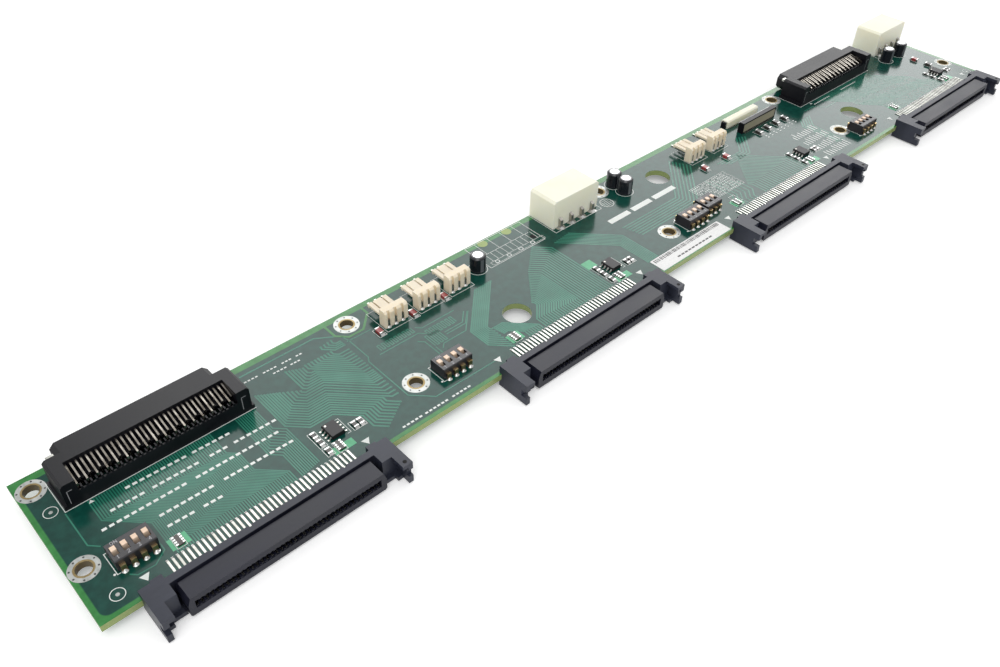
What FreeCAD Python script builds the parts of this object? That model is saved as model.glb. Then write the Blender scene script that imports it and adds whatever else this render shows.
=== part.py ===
import FreeCAD, Part
import os
import Sketcher

os.makedirs("parts", exist_ok=True)

# Board frame used below, in mm: x runs along the edge with the drive sockets,
# y runs from that edge across the board, z = 0 is the board's component side.
SIZES = (
    ("board_depth", 50.8, "board, across"),
    ("board_thick", 2.0, "board"),
    ("bay_left", 18.5, "left edge to the first lead of drive bay 1"),
    ("bay_pitch", 106.68, "one drive bay to the next"),
    ("bay_right", 63.46, "first lead of drive bay 4 to the right edge"),
    ("post_radius", 2.0, "plated mounting hole"),
    ("post_edge_x", 3.8, "outer mounting holes from the short edges"),
    ("post_end_y", 16.1, "front outer mounting holes"),
    ("post_front_y", 13.1, "front inner mounting holes"),
    ("post_back_y", 45.4, "back mounting holes"),
    ("post_first_x", 78.0, "inner mounting holes from their bay"),
    ("post_middle_x", 79.6, "inner mounting holes from their bay"),
    ("post_last_x", 77.8, "inner mounting holes from their bay"),
    ("tool_radius", 4.5, "plain round opening"),
    ("tool_first_x", 12.4, "opening in bay 2"),
    ("tool_first_y", 16.2, "opening in bay 2"),
    ("tool_middle_x", -3.6, "opening in bay 3"),
    ("tool_middle_y", 37.8, "opening in bay 3"),
    ("tool_last_x", -12.3, "opening in bay 4"),
    ("tool_last_y", 18.0, "opening in bay 4"),
    ("tail_length", 1.4, "soldered tails below the board"),
    ("lead_pitch", 1.27, "drive socket leads"),
    ("lead_count", 40, "drive socket leads in a row"),
    ("lead_width", 0.55, "drive socket lead"),
    ("lead_thick", 0.25, "drive socket lead"),
    ("lead_foot", 5.3, "lead on the board from the front edge"),
    ("lead_setback", 0.5, "lead tip behind the socket mouth"),
    ("socket_height", 7.2, "drive socket, square to the board"),
    ("socket_nose", 8.0, "nose in front of the board edge"),
    ("socket_ledge", 2.0, "ledge in front of the board edge"),
    ("socket_lap", 1.5, "end blocks over the board, inner part"),
    ("socket_lap_outer", 0.9, "end blocks over the board, outer part"),
    ("slot_margin", 0.3, "slot beyond the outer leads"),
    ("nose_end", 1.6, "nose beyond the slot"),
    ("nose_taper", 0.8, "upper nose edge narrower at each end"),
    ("nose_drop", 0.7, "nose top below the ledge top"),
    ("nose_lift", 0.4, "nose underside above the block underside"),
    ("nose_shoulder", 2.2, "height of the nose's slanting upper ends"),
    ("side_gap", 0.8, "nose to guide block"),
    ("block_depth", 5.4, "guide block in front of the board edge"),
    ("block_width", 2.9, "inner part of the guide block"),
    ("arm_width", 3.0, "guide arm"),
    ("arm_reach", 10.1, "guide arm tip in front of the board edge"),
    ("arm_wall", 1.4, "guide arm, outer wall"),
    ("arm_plate", 1.2, "guide arm, top and bottom plates"),
    ("arm_floor_cut", 2.4, "guide arm floor behind the tip"),
    ("floor_depth", 6.5, "floor web beside the nose"),
    ("notch_height", 2.4, "notch in the guide arm tip"),
    ("notch_left", 2.1, "notch in the left arm tip"),
    ("notch_right", 0.9, "notch in the right arm tip"),
    ("groove_width", 0.45, "groove along the nose behind its top"),
    ("groove_depth", 0.8, "groove along the nose"),
    ("relief_width", 0.9, "reliefs in the ledge's rear edge"),
    ("relief_depth", 0.5, "reliefs in the ledge's rear edge"),
    ("relief_first_x", -16.5, "relief, from the socket's middle"),
    ("relief_second_x", -6.4, "relief, from the socket's middle"),
    ("relief_third_x", 10.2, "relief, from the socket's middle"),
    ("relief_fourth_x", 20.3, "relief, from the socket's middle"),
    ("scsi_y", 34.1, "cable connector front face"),
    ("scsi_near_x", 14.7, "near cable connector, middle from bay 1"),
    ("scsi_far_x", 0.96, "far cable connector, middle from bay 4"),
    ("scsi_width", 50.0, "cable connector body"),
    ("scsi_flange", 0.7, "foot flange at each end"),
    ("scsi_flange_height", 1.2, "foot flange"),
    ("scsi_depth", 10.4, "cable connector body"),
    ("scsi_height", 8.0, "cable connector body"),
    ("scsi_end", 3.7, "end block width"),
    ("scsi_window", 6.9, "pin window from the front face"),
    ("comb_thick", 0.5, "low wall in front of the pins"),
    ("comb_height", 4.2, "low wall in front of the pins"),
    ("ledge_thick", 1.2, "ledge over the lower pins, at the back of the window"),
    ("ledge_lap", 0.3, "ledge in front of the lower pins"),
    ("snout_width", 43.0, "mating face"),
    ("snout_depth", 5.1, "mating face"),
    ("snout_top", 7.0, "mating face, above the board"),
    ("snout_bottom", 1.0, "mating face, above the board"),
    ("snout_corner", 1.4, "slanting corners of the mating face"),
    ("pin_pitch", 1.27, "cable connector pins"),
    ("pin_count", 34, "cable connector pins in a row"),
    ("pin_width", 0.45, "cable connector pin"),
    ("pin_upper", 6.5, "upper pins leave the body at this height"),
    ("pin_slope", 1.3, "upper pins fall to the bend"),
    ("pin_lower", 2.6, "lower pins leave the ledge at this height"),
    ("tail_long", 0.8, "first tail row behind the front face"),
    ("tail_step", 1.5, "one tail row to the next"),
    ("power_y", 39.4, "power header front face"),
    ("power_near_x", 61.6, "near power header, middle from bay 2"),
    ("power_far_x", 11.5, "far power header, middle from the right edge"),
    ("power_width", 21.2, "power header"),
    ("power_height", 10.5, "power header"),
    ("power_wall", 1.5, "power header walls"),
    ("power_back_wall", 4.0, "power header, solid part behind the cavity"),
    ("power_bevel", 2.6, "keying bevels of the cavity"),
    ("power_edge", 0.8, "power header, upper long edges"),
    ("power_pitch", 5.08, "power pins"),
    ("power_pin_radius", 1.05, "eight-sided power pins, to their corners"),
    ("power_pin_length", 6.4, "power pins in the cavity"),
    ("power_tail", 1.1, "power tails, square"),
    ("power_exit", 2.5, "power tails leave the header at this height"),
    ("fan_pitch", 2.54, "fan header pins"),
    ("fan_left", 3.9, "fan header left of its middle pin"),
    ("fan_right", 4.4, "fan header right of its middle pin"),
    ("fan_depth", 2.9, "fan header body"),
    ("fan_height", 5.8, "fan header body"),
    ("fan_edge", 0.6, "fan header body, upper front edge"),
    ("fan_pin", 0.64, "fan header pins, square"),
    ("fan_axis", 2.4, "fan header pins above the board"),
    ("fan_groove", 0.9, "grooves for the bent pins"),
    ("fan_groove_depth", 0.75, "grooves for the bent pins"),
    ("fan_pin_reach", 10.4, "fan pin tips behind the front face"),
    ("fan_lock_depth", 5.7, "friction lock behind the body"),
    ("fan_lock_width", 6.7, "friction lock"),
    ("fan_lock_thick", 0.8, "friction lock"),
    ("fan_lock_drop", 1.6, "friction lock below the body's top"),
    ("fan_lip", 0.6, "lip at the end of the friction lock"),
    ("fan_slit", 0.5, "slits in the friction lock"),
    ("fan_row_y", 36.2, "front faces of the three fan headers"),
    ("fan_pair_y", 36.0, "front faces of the pair of fan headers"),
    ("fan_first_x", -17.35, "middle pin from bay 2"),
    ("fan_second_x", -4.95, "middle pin from bay 2"),
    ("fan_third_x", 7.05, "middle pin from bay 2"),
    ("fan_fourth_x", 16.65, "middle pin from bay 3"),
    ("fan_fifth_x", 29.35, "middle pin from bay 3"),
    ("can_radius", 2.6, "capacitor can"),
    ("can_height", 5.7, "capacitor can"),
    ("can_bevel", 0.5, "capacitor can, rim"),
    ("can_leg", 0.5, "capacitor leads, square"),
    ("can_leg_pitch", 2.0, "capacitor leads"),
    ("can_first_x", 17.9, "from bay 2"),
    ("can_first_y", 40.0, "capacitor"),
    ("can_second_x", -19.9, "from bay 3"),
    ("can_second_y", 44.8, "capacitor"),
    ("can_third_x", -20.0, "from bay 3"),
    ("can_third_y", 39.3, "capacitor"),
    ("can_fourth_x", 41.6, "from bay 4"),
    ("can_fourth_y", 33.8, "capacitor"),
    ("can_fifth_x", 51.4, "from bay 4"),
    ("can_fifth_y", 33.5, "capacitor"),
    ("dip_pitch", 2.54, "switch positions"),
    ("dip_depth", 6.0, "switch housing"),
    ("dip_height", 3.5, "switch housing"),
    ("dip_edge", 0.25, "switch housing, top edges"),
    ("dip_window_width", 1.5, "slider window"),
    ("dip_window_length", 2.8, "slider window"),
    ("dip_top", 0.8, "switch housing's top plate"),
    ("dip_play", 0.12, "slider to its channel, each side"),
    ("slider_travel", 1.2, "slider"),
    ("slider_flange", 0.35, "slider foot wider than its knob, each side"),
    ("slider_foot", 0.8, "slider foot height"),
    ("slider_rise", 0.3, "slider knob above the housing"),
    ("dip_lead_width", 1.3, "switch lead"),
    ("dip_lead_thick", 0.3, "switch lead"),
    ("dip_lead_top", 2.1, "switch lead leaves the housing"),
    ("dip_lead_reach", 0.75, "switch lead beyond the housing"),
    ("dip_first_x", -4.25, "middle, from bay 1"),
    ("dip_first_y", 10.2, "front face"),
    ("dip_second_x", -17.0, "middle, from bay 2"),
    ("dip_second_y", 8.8, "front face"),
    ("dip_third_x", -16.1, "middle, from bay 3"),
    ("dip_third_y", 9.3, "front face"),
    ("dip_fourth_x", -6.1, "middle, from bay 3"),
    ("dip_fourth_y", 10.6, "front face"),
    ("dip_fifth_x", -21.0, "middle, from bay 4"),
    ("dip_fifth_y", 5.6, "front face"),
    ("chip_x", 50.7, "small chip, middle from its bay"),
    ("chip_y", 13.2, "small chip, middle"),
    ("chip_last_shift", -3.4, "small chip of bay 4 and its parts, nearer the bay"),
    ("chip_width", 3.9, "small chip body"),
    ("chip_length", 4.9, "small chip body"),
    ("chip_height", 1.35, "small chip body"),
    ("chip_lift", 0.15, "small chip body above the board"),
    ("chip_slant", 0.12, "small chip body, slanting sides"),
    ("chip_pitch", 1.27, "small chip leads"),
    ("chip_lead_width", 0.42, "small chip leads"),
    ("chip_lead_thick", 0.2, "small chip leads"),
    ("chip_lead_reach", 1.05, "small chip leads beyond the body"),
    ("chip_lead_foot", 0.6, "small chip leads, soldered foot"),
    ("chip_lead_top", 0.85, "small chip leads leave the body"),
    ("part_length", 2.0, "chip resistors"),
    ("part_width", 1.25, "chip resistors"),
    ("part_height", 0.6, "chip resistors and resistor arrays"),
    ("part_left_x", 45.9, "resistors left of a small chip, from its bay"),
    ("part_back_y", 15.0, "back resistor left of a small chip"),
    ("part_middle_y", 11.9, "middle resistor left of a small chip"),
    ("part_front_y", 8.3, "front resistor left of a small chip"),
    ("part_right_x", 56.2, "first resistor right of a small chip, from its bay"),
    ("part_far_x", 58.0, "second resistor right of a small chip, from its bay"),
    ("part_right_y", 11.4, "resistors right of a small chip"),
    ("array_length", 3.2, "resistor arrays"),
    ("array_width", 1.6, "resistor arrays"),
    ("array_left_x", 4.6, "array behind the first leads, from its bay"),
    ("array_left_y", 8.8, "array behind the first leads"),
    ("array_chip_x", 49.1, "array in front of a small chip, from its bay"),
    ("array_chip_y", 8.1, "array in front of a small chip"),
    ("diode_length", 2.7, "small diodes"),
    ("diode_width", 1.5, "small diodes"),
    ("diode_height", 1.1, "small diodes"),
    ("diode_fan_x", -6.25, "diode of a fan header in the row, from its middle pin"),
    ("diode_fan_y", 36.1, "diodes of the row of fan headers"),
    ("diode_pair_x", -2.9, "diode of a fan header in the pair, from its middle pin"),
    ("diode_pair_y", 29.9, "diodes of the pair of fan headers"),
    ("diode_strip_x", 51.0, "first diode in front of the black ribbon socket, from bay 3"),
    ("diode_strip_y", 32.6, "diodes in front of the black ribbon socket"),
    ("diode_strip_pitch", 5.67, "diodes in front of the black ribbon socket"),
    ("diode_end_x", 51.6, "diodes near the far end, from bay 4"),
    ("diode_end_y", 25.5, "back diode near the far end"),
    ("diode_end_step", 6.6, "front diode near the far end, from the back one"),
    ("strip_length", 21.5, "ribbon sockets"),
    ("strip_black_depth", 2.4, "black ribbon socket"),
    ("strip_black_height", 4.4, "black ribbon socket"),
    ("strip_ivory_depth", 3.2, "ivory ribbon socket"),
    ("strip_ivory_height", 3.0, "ivory ribbon socket"),
    ("strip_frame", 0.6, "frame of a ribbon socket"),
    ("strip_panel", 0.4, "panel set in the black ribbon socket"),
    ("strip_leg", 0.8, "tabs of the ivory ribbon socket"),
    ("strip_edge", 0.5, "ribbon sockets, top edges"),
    ("strip_black_x", 56.1, "black ribbon socket, middle from bay 3"),
    ("strip_black_y", 36.4, "black ribbon socket, front face"),
    ("strip_ivory_x", 54.1, "ivory ribbon socket, middle from bay 3"),
    ("strip_ivory_y", 42.7, "ivory ribbon socket, front face"),
    ("label_x", -27.5, "label, middle from bay 3"),
    ("label_y", 0.4, "label, front edge"),
    ("label_length", 34.8, "label"),
    ("label_depth", 6.0, "label"),
    ("label_thick", 0.1, "label"),
)

VALUES = {alias: value for alias, value, _ in SIZES}

doc = FreeCAD.newDocument("DriveBackplane")
sheet = doc.addObject("Spreadsheet::Sheet", "Sizes")
for row_number, (alias, value, meaning) in enumerate(SIZES, start=1):
    sheet.set(f"A{row_number}", meaning)
    sheet.set(f"B{row_number}", str(value))
    sheet.setAlias(f"B{row_number}", alias)
doc.recompute()


def number(term):
    return term.value if isinstance(term, Size) else float(term)


def formula(term):
    return term.text if isinstance(term, Size) else repr(float(term))


class Size:
    """A length in mm that also knows the spreadsheet formula behind it."""

    def __init__(self, value, text):
        self.value = float(value)
        self.text = text

    def __add__(self, other):
        return Size(self.value + number(other), f"({self.text} + {formula(other)})")

    def __radd__(self, other):
        return Size(number(other) + self.value, f"({formula(other)} + {self.text})")

    def __sub__(self, other):
        return Size(self.value - number(other), f"({self.text} - {formula(other)})")

    def __rsub__(self, other):
        return Size(number(other) - self.value, f"({formula(other)} - {self.text})")

    def __mul__(self, factor):
        return Size(self.value * number(factor), f"({self.text} * {formula(factor)})")

    __rmul__ = __mul__

    def __truediv__(self, divisor):
        return Size(self.value / number(divisor), f"({self.text} / {formula(divisor)})")

    def __neg__(self):
        return Size(-self.value, f"(0 - {self.text})")


class SheetSizes:
    """Gives a spreadsheet alias as a Size."""

    def __getattr__(self, alias):
        return Size(VALUES[alias], "Sizes." + alias)


S = SheetSizes()


def bind(target, path, term):
    """Drive one property or constraint of target by a formula."""
    target.setExpression(path, formula(term))


def bay(index):
    """First lead of drive bay 1 to 4, from the left edge."""
    return S.bay_left + S.bay_pitch * (index - 1)


BOARD_LENGTH = bay(4) + S.bay_right
BACK_EDGE = S.board_depth
UNDERSIDE = -S.board_thick
TAIL_END = UNDERSIDE - S.tail_length
FRAME_X = BOARD_LENGTH / 2
FRAME_Y = (S.board_depth - S.arm_reach) / 2
FRAME_Z = S.board_thick / 2 + S.socket_height / 2

# Cosine of an eighth of a turn, for eight-sided outlines.
EIGHTH = 0.5 ** 0.5

PLANES = {"top": "XY_Plane", "front": "XZ_Plane", "side": "YZ_Plane"}
AXES = {"x": "X_Axis", "y": "Y_Axis", "z": "Z_Axis"}


def datum(body, role):
    return next(item for item in body.Origin.OriginFeatures if item.Role == role)


def new_body(name, x=0.0, y=0.0, z=0.0):
    """A body whose own origin lies at board point x, y, z."""
    body = doc.addObject("PartDesign::Body", name)
    body.Label = name
    body.AllowCompound = True
    bind(body, "Placement.Base.x", x - FRAME_X)
    bind(body, "Placement.Base.y", y - FRAME_Y)
    bind(body, "Placement.Base.z", z + FRAME_Z)
    return body


def rectangle(left, low, right, high):
    return [(left, low), (right, low), (right, high), (left, high)]


def mirrored(corners):
    """The same outline on the other side of the sketch's vertical axis."""
    return [(-a, b) for a, b in reversed(corners)]


def draw_polygon(sketch, corners):
    first = sketch.GeometryCount
    count = len(corners)
    points = [FreeCAD.Vector(number(a), number(b), 0) for a, b in corners]
    lines = [Part.LineSegment(points[i], points[(i + 1) % count]) for i in range(count)]
    sketch.addGeometry(lines, False)
    rules = [
        Sketcher.Constraint("Coincident", first + i, 2, first + (i + 1) % count, 1)
        for i in range(count)
    ]
    drivers = []
    for i, (a, b) in enumerate(corners):
        drivers.append(a)
        rules.append(Sketcher.Constraint("DistanceX", -1, 1, first + i, 1, number(a)))
        drivers.append(b)
        rules.append(Sketcher.Constraint("DistanceY", -1, 1, first + i, 1, number(b)))
    offset = sketch.ConstraintCount + count
    sketch.addConstraint(rules)
    for i, term in enumerate(drivers):
        if isinstance(term, Size):
            bind(sketch, f"Constraints[{offset + i}]", term)


def draw_circle(sketch, across, along, radius):
    index = sketch.GeometryCount
    centre = FreeCAD.Vector(number(across), number(along), 0)
    circle = Part.Circle(centre, FreeCAD.Vector(0, 0, 1), number(radius))
    sketch.addGeometry(circle, False)
    rules = (
        (Sketcher.Constraint("Radius", index, number(radius)), radius),
        (Sketcher.Constraint("DistanceX", -1, 1, index, 3, number(across)), across),
        (Sketcher.Constraint("DistanceY", -1, 1, index, 3, number(along)), along),
    )
    for rule, term in rules:
        position = sketch.addConstraint(rule)
        if isinstance(term, Size):
            bind(sketch, f"Constraints[{position}]", term)


def draw(body, name, view, shapes, level):
    """Sketch on the body's top, front or side plane, level mm along its normal axis."""
    sketch = body.newObject("Sketcher::SketchObject", name)
    sketch.AttachmentSupport = [(datum(body, PLANES[view]), "")]
    sketch.MapMode = "FlatFace"
    # The front plane's normal points to -y, the other two point along +x and +z.
    bind(sketch, "AttachmentOffset.Base.z", -level if view == "front" else level)
    for shape in shapes:
        if isinstance(shape, tuple):
            draw_circle(sketch, *shape)
        else:
            draw_polygon(sketch, shape)
    return sketch


def prism(body, name, view, shapes, start, end, cut=False):
    """Pad or pocket the shapes from start to end along the plane's positive axis."""
    before = body.Shape.Volume if cut else 0.0
    sketch = draw(body, name + "_sketch", view, shapes, start + Size(0, "0"))
    feature = body.newObject("PartDesign::Pocket" if cut else "PartDesign::Pad", name)
    feature.Profile = sketch
    bind(feature, "Length", end - start + Size(0, "0"))
    # A pad follows its sketch's normal and a pocket goes against it.
    feature.Reversed = (view == "front") != cut
    doc.recompute()
    if cut and not body.Shape.Volume < before - 1e-4:
        raise RuntimeError(f"{body.Label}: {name} cuts nothing")
    return feature


def row(body, name, features, axis, pitch, count):
    """Repeat features along an axis of the body."""
    pattern = body.newObject("PartDesign::LinearPattern", name)
    pattern.Originals = features
    pattern.Direction = (datum(body, AXES[axis]), [""])
    pattern.Mode = "Spacing"
    bind(pattern, "Offset", pitch)
    if isinstance(count, Size):
        bind(pattern, "Occurrences", count)
    else:
        pattern.Occurrences = count
    body.Tip = pattern
    doc.recompute()
    return pattern


def circuit_board():
    """Board with its plated mounting holes and three plain round openings."""
    body = new_body("circuit_board")
    outline = rectangle(0.0, 0.0, BOARD_LENGTH, S.board_depth)
    prism(body, "laminate", "top", [outline], UNDERSIDE, 0.0)
    right = BOARD_LENGTH - S.post_edge_x
    inner = (bay(1) + S.post_first_x, bay(2) + S.post_middle_x, bay(3) + S.post_last_x)
    posts = [(S.post_edge_x, S.post_end_y), (right, S.post_end_y), (S.post_edge_x, S.post_back_y)]
    posts += [(x, S.post_front_y) for x in inner]
    posts += [(x, S.post_back_y) for x in inner]
    holes = [(x, y, S.post_radius) for x, y in posts]
    prism(body, "mounting_holes", "top", holes, UNDERSIDE, 0.0, cut=True)
    tools = [
        (bay(2) + S.tool_first_x, S.tool_first_y, S.tool_radius),
        (bay(3) + S.tool_middle_x, S.tool_middle_y, S.tool_radius),
        (bay(4) + S.tool_last_x, S.tool_last_y, S.tool_radius),
    ]
    prism(body, "openings", "top", tools, UNDERSIDE, 0.0, cut=True)


LEAD_SPAN = S.lead_pitch * (S.lead_count - 1)
MIDDLE = UNDERSIDE / 2
SLOT_HALF = LEAD_SPAN / 2 + S.lead_width / 2 + S.slot_margin
NOSE_HALF = SLOT_HALF + S.nose_end
BLOCK_INNER = NOSE_HALF + S.side_gap
ARM_INNER = BLOCK_INNER + S.block_width
SOCKET_HALF = ARM_INNER + S.arm_width
SOCKET_TOP = MIDDLE + S.socket_height / 2
SOCKET_BOTTOM = MIDDLE - S.socket_height / 2


def drive_socket(index):
    """Moulded drive socket that straddles the board edge, with its two guide arms."""
    body = new_body(f"drive_socket_{index}", bay(index) + LEAD_SPAN / 2, 0.0)
    half_plan = [
        (BLOCK_INNER, -S.socket_ledge),
        (BLOCK_INNER, -S.block_depth),
        (ARM_INNER, -S.block_depth),
        (ARM_INNER, -S.arm_reach),
        (SOCKET_HALF, -S.arm_reach),
        (SOCKET_HALF, S.socket_lap_outer),
        (ARM_INNER, S.socket_lap_outer),
        (ARM_INNER, S.socket_lap),
        (BLOCK_INNER, S.socket_lap),
        (BLOCK_INNER, 0.0),
    ]
    plan = half_plan + mirrored(half_plan)
    prism(body, "base", "top", [plan], SOCKET_BOTTOM, SOCKET_TOP)
    over_board = rectangle(0.0, UNDERSIDE, S.socket_lap + 1.0, 0.0)
    prism(body, "board_seat", "side", [over_board], -SOCKET_HALF, SOCKET_HALF, cut=True)

    nose_top = SOCKET_TOP - S.nose_drop
    nose_bottom = SOCKET_BOTTOM + S.nose_lift
    half_nose = [
        (NOSE_HALF - S.nose_lift, nose_bottom),
        (NOSE_HALF, nose_bottom + S.nose_lift),
        (NOSE_HALF, nose_top - S.nose_shoulder),
        (NOSE_HALF - S.nose_taper, nose_top),
    ]
    nose = half_nose + mirrored(half_nose)
    prism(body, "nose", "front", [nose], -S.socket_nose, -S.socket_ledge)
    web = rectangle(NOSE_HALF, -S.floor_depth, ARM_INNER, -S.socket_ledge)
    web_top = SOCKET_BOTTOM + S.arm_plate
    prism(body, "floor_webs", "top", [web, mirrored(web)], SOCKET_BOTTOM, web_top)

    slot = rectangle(-SLOT_HALF, UNDERSIDE - S.lead_thick, SLOT_HALF, S.lead_thick)
    prism(body, "slot", "front", [slot], -S.socket_nose, -S.socket_ledge, cut=True)
    lead_gaps = [
        rectangle(-SLOT_HALF, 0.0, SLOT_HALF, S.lead_thick),
        rectangle(-SLOT_HALF, UNDERSIDE - S.lead_thick, SLOT_HALF, UNDERSIDE),
    ]
    prism(body, "lead_gaps", "front", lead_gaps, -S.socket_ledge, 0.0, cut=True)

    wall = SOCKET_HALF - S.arm_wall
    channel = rectangle(ARM_INNER, web_top, wall, SOCKET_TOP - S.arm_plate)
    prism(
        body, "arm_channels", "front", [channel, mirrored(channel)],
        -S.arm_reach, -S.block_depth, cut=True,
    )
    short_floor = rectangle(ARM_INNER, -S.arm_reach, wall, S.arm_floor_cut - S.arm_reach)
    prism(
        body, "arm_floors", "top", [short_floor, mirrored(short_floor)],
        SOCKET_BOTTOM, web_top, cut=True,
    )
    notch_low = MIDDLE - S.notch_height / 2
    notch_high = MIDDLE + S.notch_height / 2
    for side, start, end, length in (
        ("left", -SOCKET_HALF, -wall, S.notch_left),
        ("right", wall, SOCKET_HALF, S.notch_right),
    ):
        notch = rectangle(-S.arm_reach, notch_low, length - S.arm_reach, notch_high)
        prism(body, side + "_notch", "side", [notch], start, end, cut=True)

    groove_back = -S.socket_ledge
    groove = rectangle(
        S.nose_taper - NOSE_HALF, groove_back - S.groove_width,
        NOSE_HALF - S.nose_taper, groove_back,
    )
    prism(body, "groove", "top", [groove], nose_top - S.groove_depth, nose_top, cut=True)
    relief_places = (
        S.relief_first_x, S.relief_second_x, S.relief_third_x, S.relief_fourth_x,
    )
    reliefs = [
        rectangle(x - S.relief_width / 2, -S.relief_depth, x + S.relief_width / 2, 0.0)
        for x in relief_places
    ]
    prism(body, "reliefs", "top", reliefs, SOCKET_TOP - S.nose_drop, SOCKET_TOP, cut=True)


def socket_leads(index):
    """Both rows of leads of a drive socket, above and below the board."""
    body = new_body(f"socket_leads_{index}", bay(index), 0.0)
    tip = S.lead_setback - S.socket_nose
    half = S.lead_width / 2
    upper = rectangle(tip, 0.0, S.lead_foot, S.lead_thick)
    lower = rectangle(tip, UNDERSIDE - S.lead_thick, S.lead_foot, UNDERSIDE)
    above = prism(body, "upper_lead", "side", [upper], -half, half)
    below = prism(body, "lower_lead", "side", [lower], -half, half)
    row(body, "lead_rows", [above, below], "x", S.lead_pitch, S.lead_count)


def scsi_middle(index):
    return bay(1) + S.scsi_near_x if index == 1 else bay(4) + S.scsi_far_x


def cable_connector(index):
    """Right-angle cable connector with an open pin window and a rounded mating face."""
    body = new_body(f"cable_connector_{index}", scsi_middle(index), S.scsi_y)
    half = S.scsi_width / 2
    inner = half - S.scsi_end
    half_front = [
        (half + S.scsi_flange, 0.0),
        (half + S.scsi_flange, S.scsi_flange_height),
        (half, S.scsi_flange_height),
        (half, S.scsi_height - S.scsi_flange),
        (half - S.scsi_flange, S.scsi_height),
    ]
    front = half_front + mirrored(half_front)
    prism(body, "block", "front", [front], 0.0, S.scsi_depth)
    window = rectangle(-inner, S.comb_thick, inner, S.scsi_window)
    prism(body, "pin_window", "top", [window], 0.0, S.scsi_height, cut=True)
    sill = rectangle(-inner, S.comb_height, inner, S.scsi_height)
    prism(body, "sill", "front", [sill], 0.0, S.comb_thick, cut=True)
    ledge_front = S.tail_long + S.tail_step * 2 - S.ledge_lap
    ledge = rectangle(ledge_front, S.pin_lower, S.scsi_window, S.pin_lower + S.ledge_thick)
    prism(body, "ledge", "side", [ledge], -inner, inner)
    wide = S.snout_width / 2
    half_snout = [
        (wide - S.snout_corner, S.snout_bottom),
        (wide, S.snout_bottom + S.snout_corner),
        (wide, S.snout_top - S.snout_corner),
        (wide - S.snout_corner, S.snout_top),
    ]
    snout = half_snout + mirrored(half_snout)
    back = S.scsi_depth + S.snout_depth
    prism(body, "snout", "front", [snout], S.scsi_depth, back)


def cable_pins(index):
    """Two rows of bent upper pins and two rows of straight lower pins of a cable connector."""
    first = scsi_middle(index) - S.pin_pitch * (S.pin_count - 1) / 2
    body = new_body(f"cable_pins_{index}", first, S.scsi_y)
    wall = S.scsi_window
    width = S.pin_width
    bend_top = S.pin_upper - S.pin_slope
    made = []
    for tail_row, name in enumerate(("upper_long", "upper_short", "lower_long", "lower_short")):
        bend = S.tail_long + S.tail_step * tail_row
        if name.startswith("upper"):
            profile = [
                (bend, TAIL_END),
                (bend + width, TAIL_END),
                (bend + width, bend_top),
                (wall, S.pin_upper),
                (wall, S.pin_upper + width),
                (bend, bend_top + width),
            ]
        else:
            profile = rectangle(bend, TAIL_END, bend + width, S.pin_lower)
        shift = S.pin_pitch * (tail_row % 2)
        made.append(prism(body, name, "side", [profile], shift - width / 2, shift + width / 2))
    row(body, "pin_rows", made, "x", S.pin_pitch * 2, S.pin_count / 2)


def power_middle(index):
    return bay(2) + S.power_near_x if index == 1 else BOARD_LENGTH - S.power_far_x


POWER_DEPTH = BACK_EDGE - S.power_y
POWER_AXIS = S.power_height / 2
POWER_LOW = POWER_AXIS - S.power_tail / 2
POWER_HIGH = POWER_AXIS + S.power_tail / 2


def power_header(index):
    """Power header with a keyed cavity to the back and slanting bores for its pins."""
    body = new_body(f"power_header_{index}", power_middle(index), S.power_y)
    half = S.power_width / 2
    half_front = [
        (half, 0.0),
        (half, S.power_height - S.power_edge),
        (half - S.power_edge, S.power_height),
    ]
    front = half_front + mirrored(half_front)
    prism(body, "block", "front", [front], 0.0, POWER_DEPTH)
    inner = half - S.power_wall
    low = S.power_wall
    high = S.power_height - S.power_wall
    half_key = [
        (inner, low),
        (inner, high - S.power_bevel),
        (inner - S.power_bevel, high),
    ]
    key = half_key + mirrored(half_key)
    prism(body, "cavity", "front", [key], S.power_back_wall, POWER_DEPTH, cut=True)
    first = -(S.power_pitch * 1.5)
    half_tail = S.power_tail / 2
    bore = [
        (0.0, S.power_exit),
        (S.power_back_wall, POWER_LOW),
        (S.power_back_wall, POWER_HIGH),
        (0.0, S.power_exit + S.power_tail),
    ]
    bores = prism(body, "pin_bore", "side", [bore], first - half_tail, first + half_tail, cut=True)
    row(body, "pin_bores", [bores], "x", S.power_pitch, 4)


def power_pins():
    """Pins in both cavities, with tails that slant down through the wall and bend to the board."""
    body = new_body("power_pins", 0.0, S.power_y)
    half = S.power_tail / 2
    rise = POWER_LOW - S.power_exit
    bend = S.power_exit + S.power_tail - rise * (S.power_tail / S.power_back_wall)
    profile = [
        (-S.power_tail, TAIL_END),
        (0.0, TAIL_END),
        (0.0, S.power_exit),
        (S.power_back_wall, POWER_LOW),
        (S.power_back_wall, POWER_HIGH),
        (-S.power_tail, bend),
    ]
    tip = S.power_back_wall + S.power_pin_length
    corner = S.power_pin_radius
    side = corner * EIGHTH
    for index in (1, 2):
        first = power_middle(index) - S.power_pitch * 1.5
        tail = prism(body, f"tail_{index}", "side", [profile], first - half, first + half)
        eight_sides = [
            (first + corner, POWER_AXIS),
            (first + side, POWER_AXIS + side),
            (first, POWER_AXIS + corner),
            (first - side, POWER_AXIS + side),
            (first - corner, POWER_AXIS),
            (first - side, POWER_AXIS - side),
            (first, POWER_AXIS - corner),
            (first + side, POWER_AXIS - side),
        ]
        pin = prism(body, f"pin_{index}", "front", [eight_sides], S.power_back_wall, tip)
        row(body, f"pins_{index}", [tail, pin], "x", S.power_pitch, 4)


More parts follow.
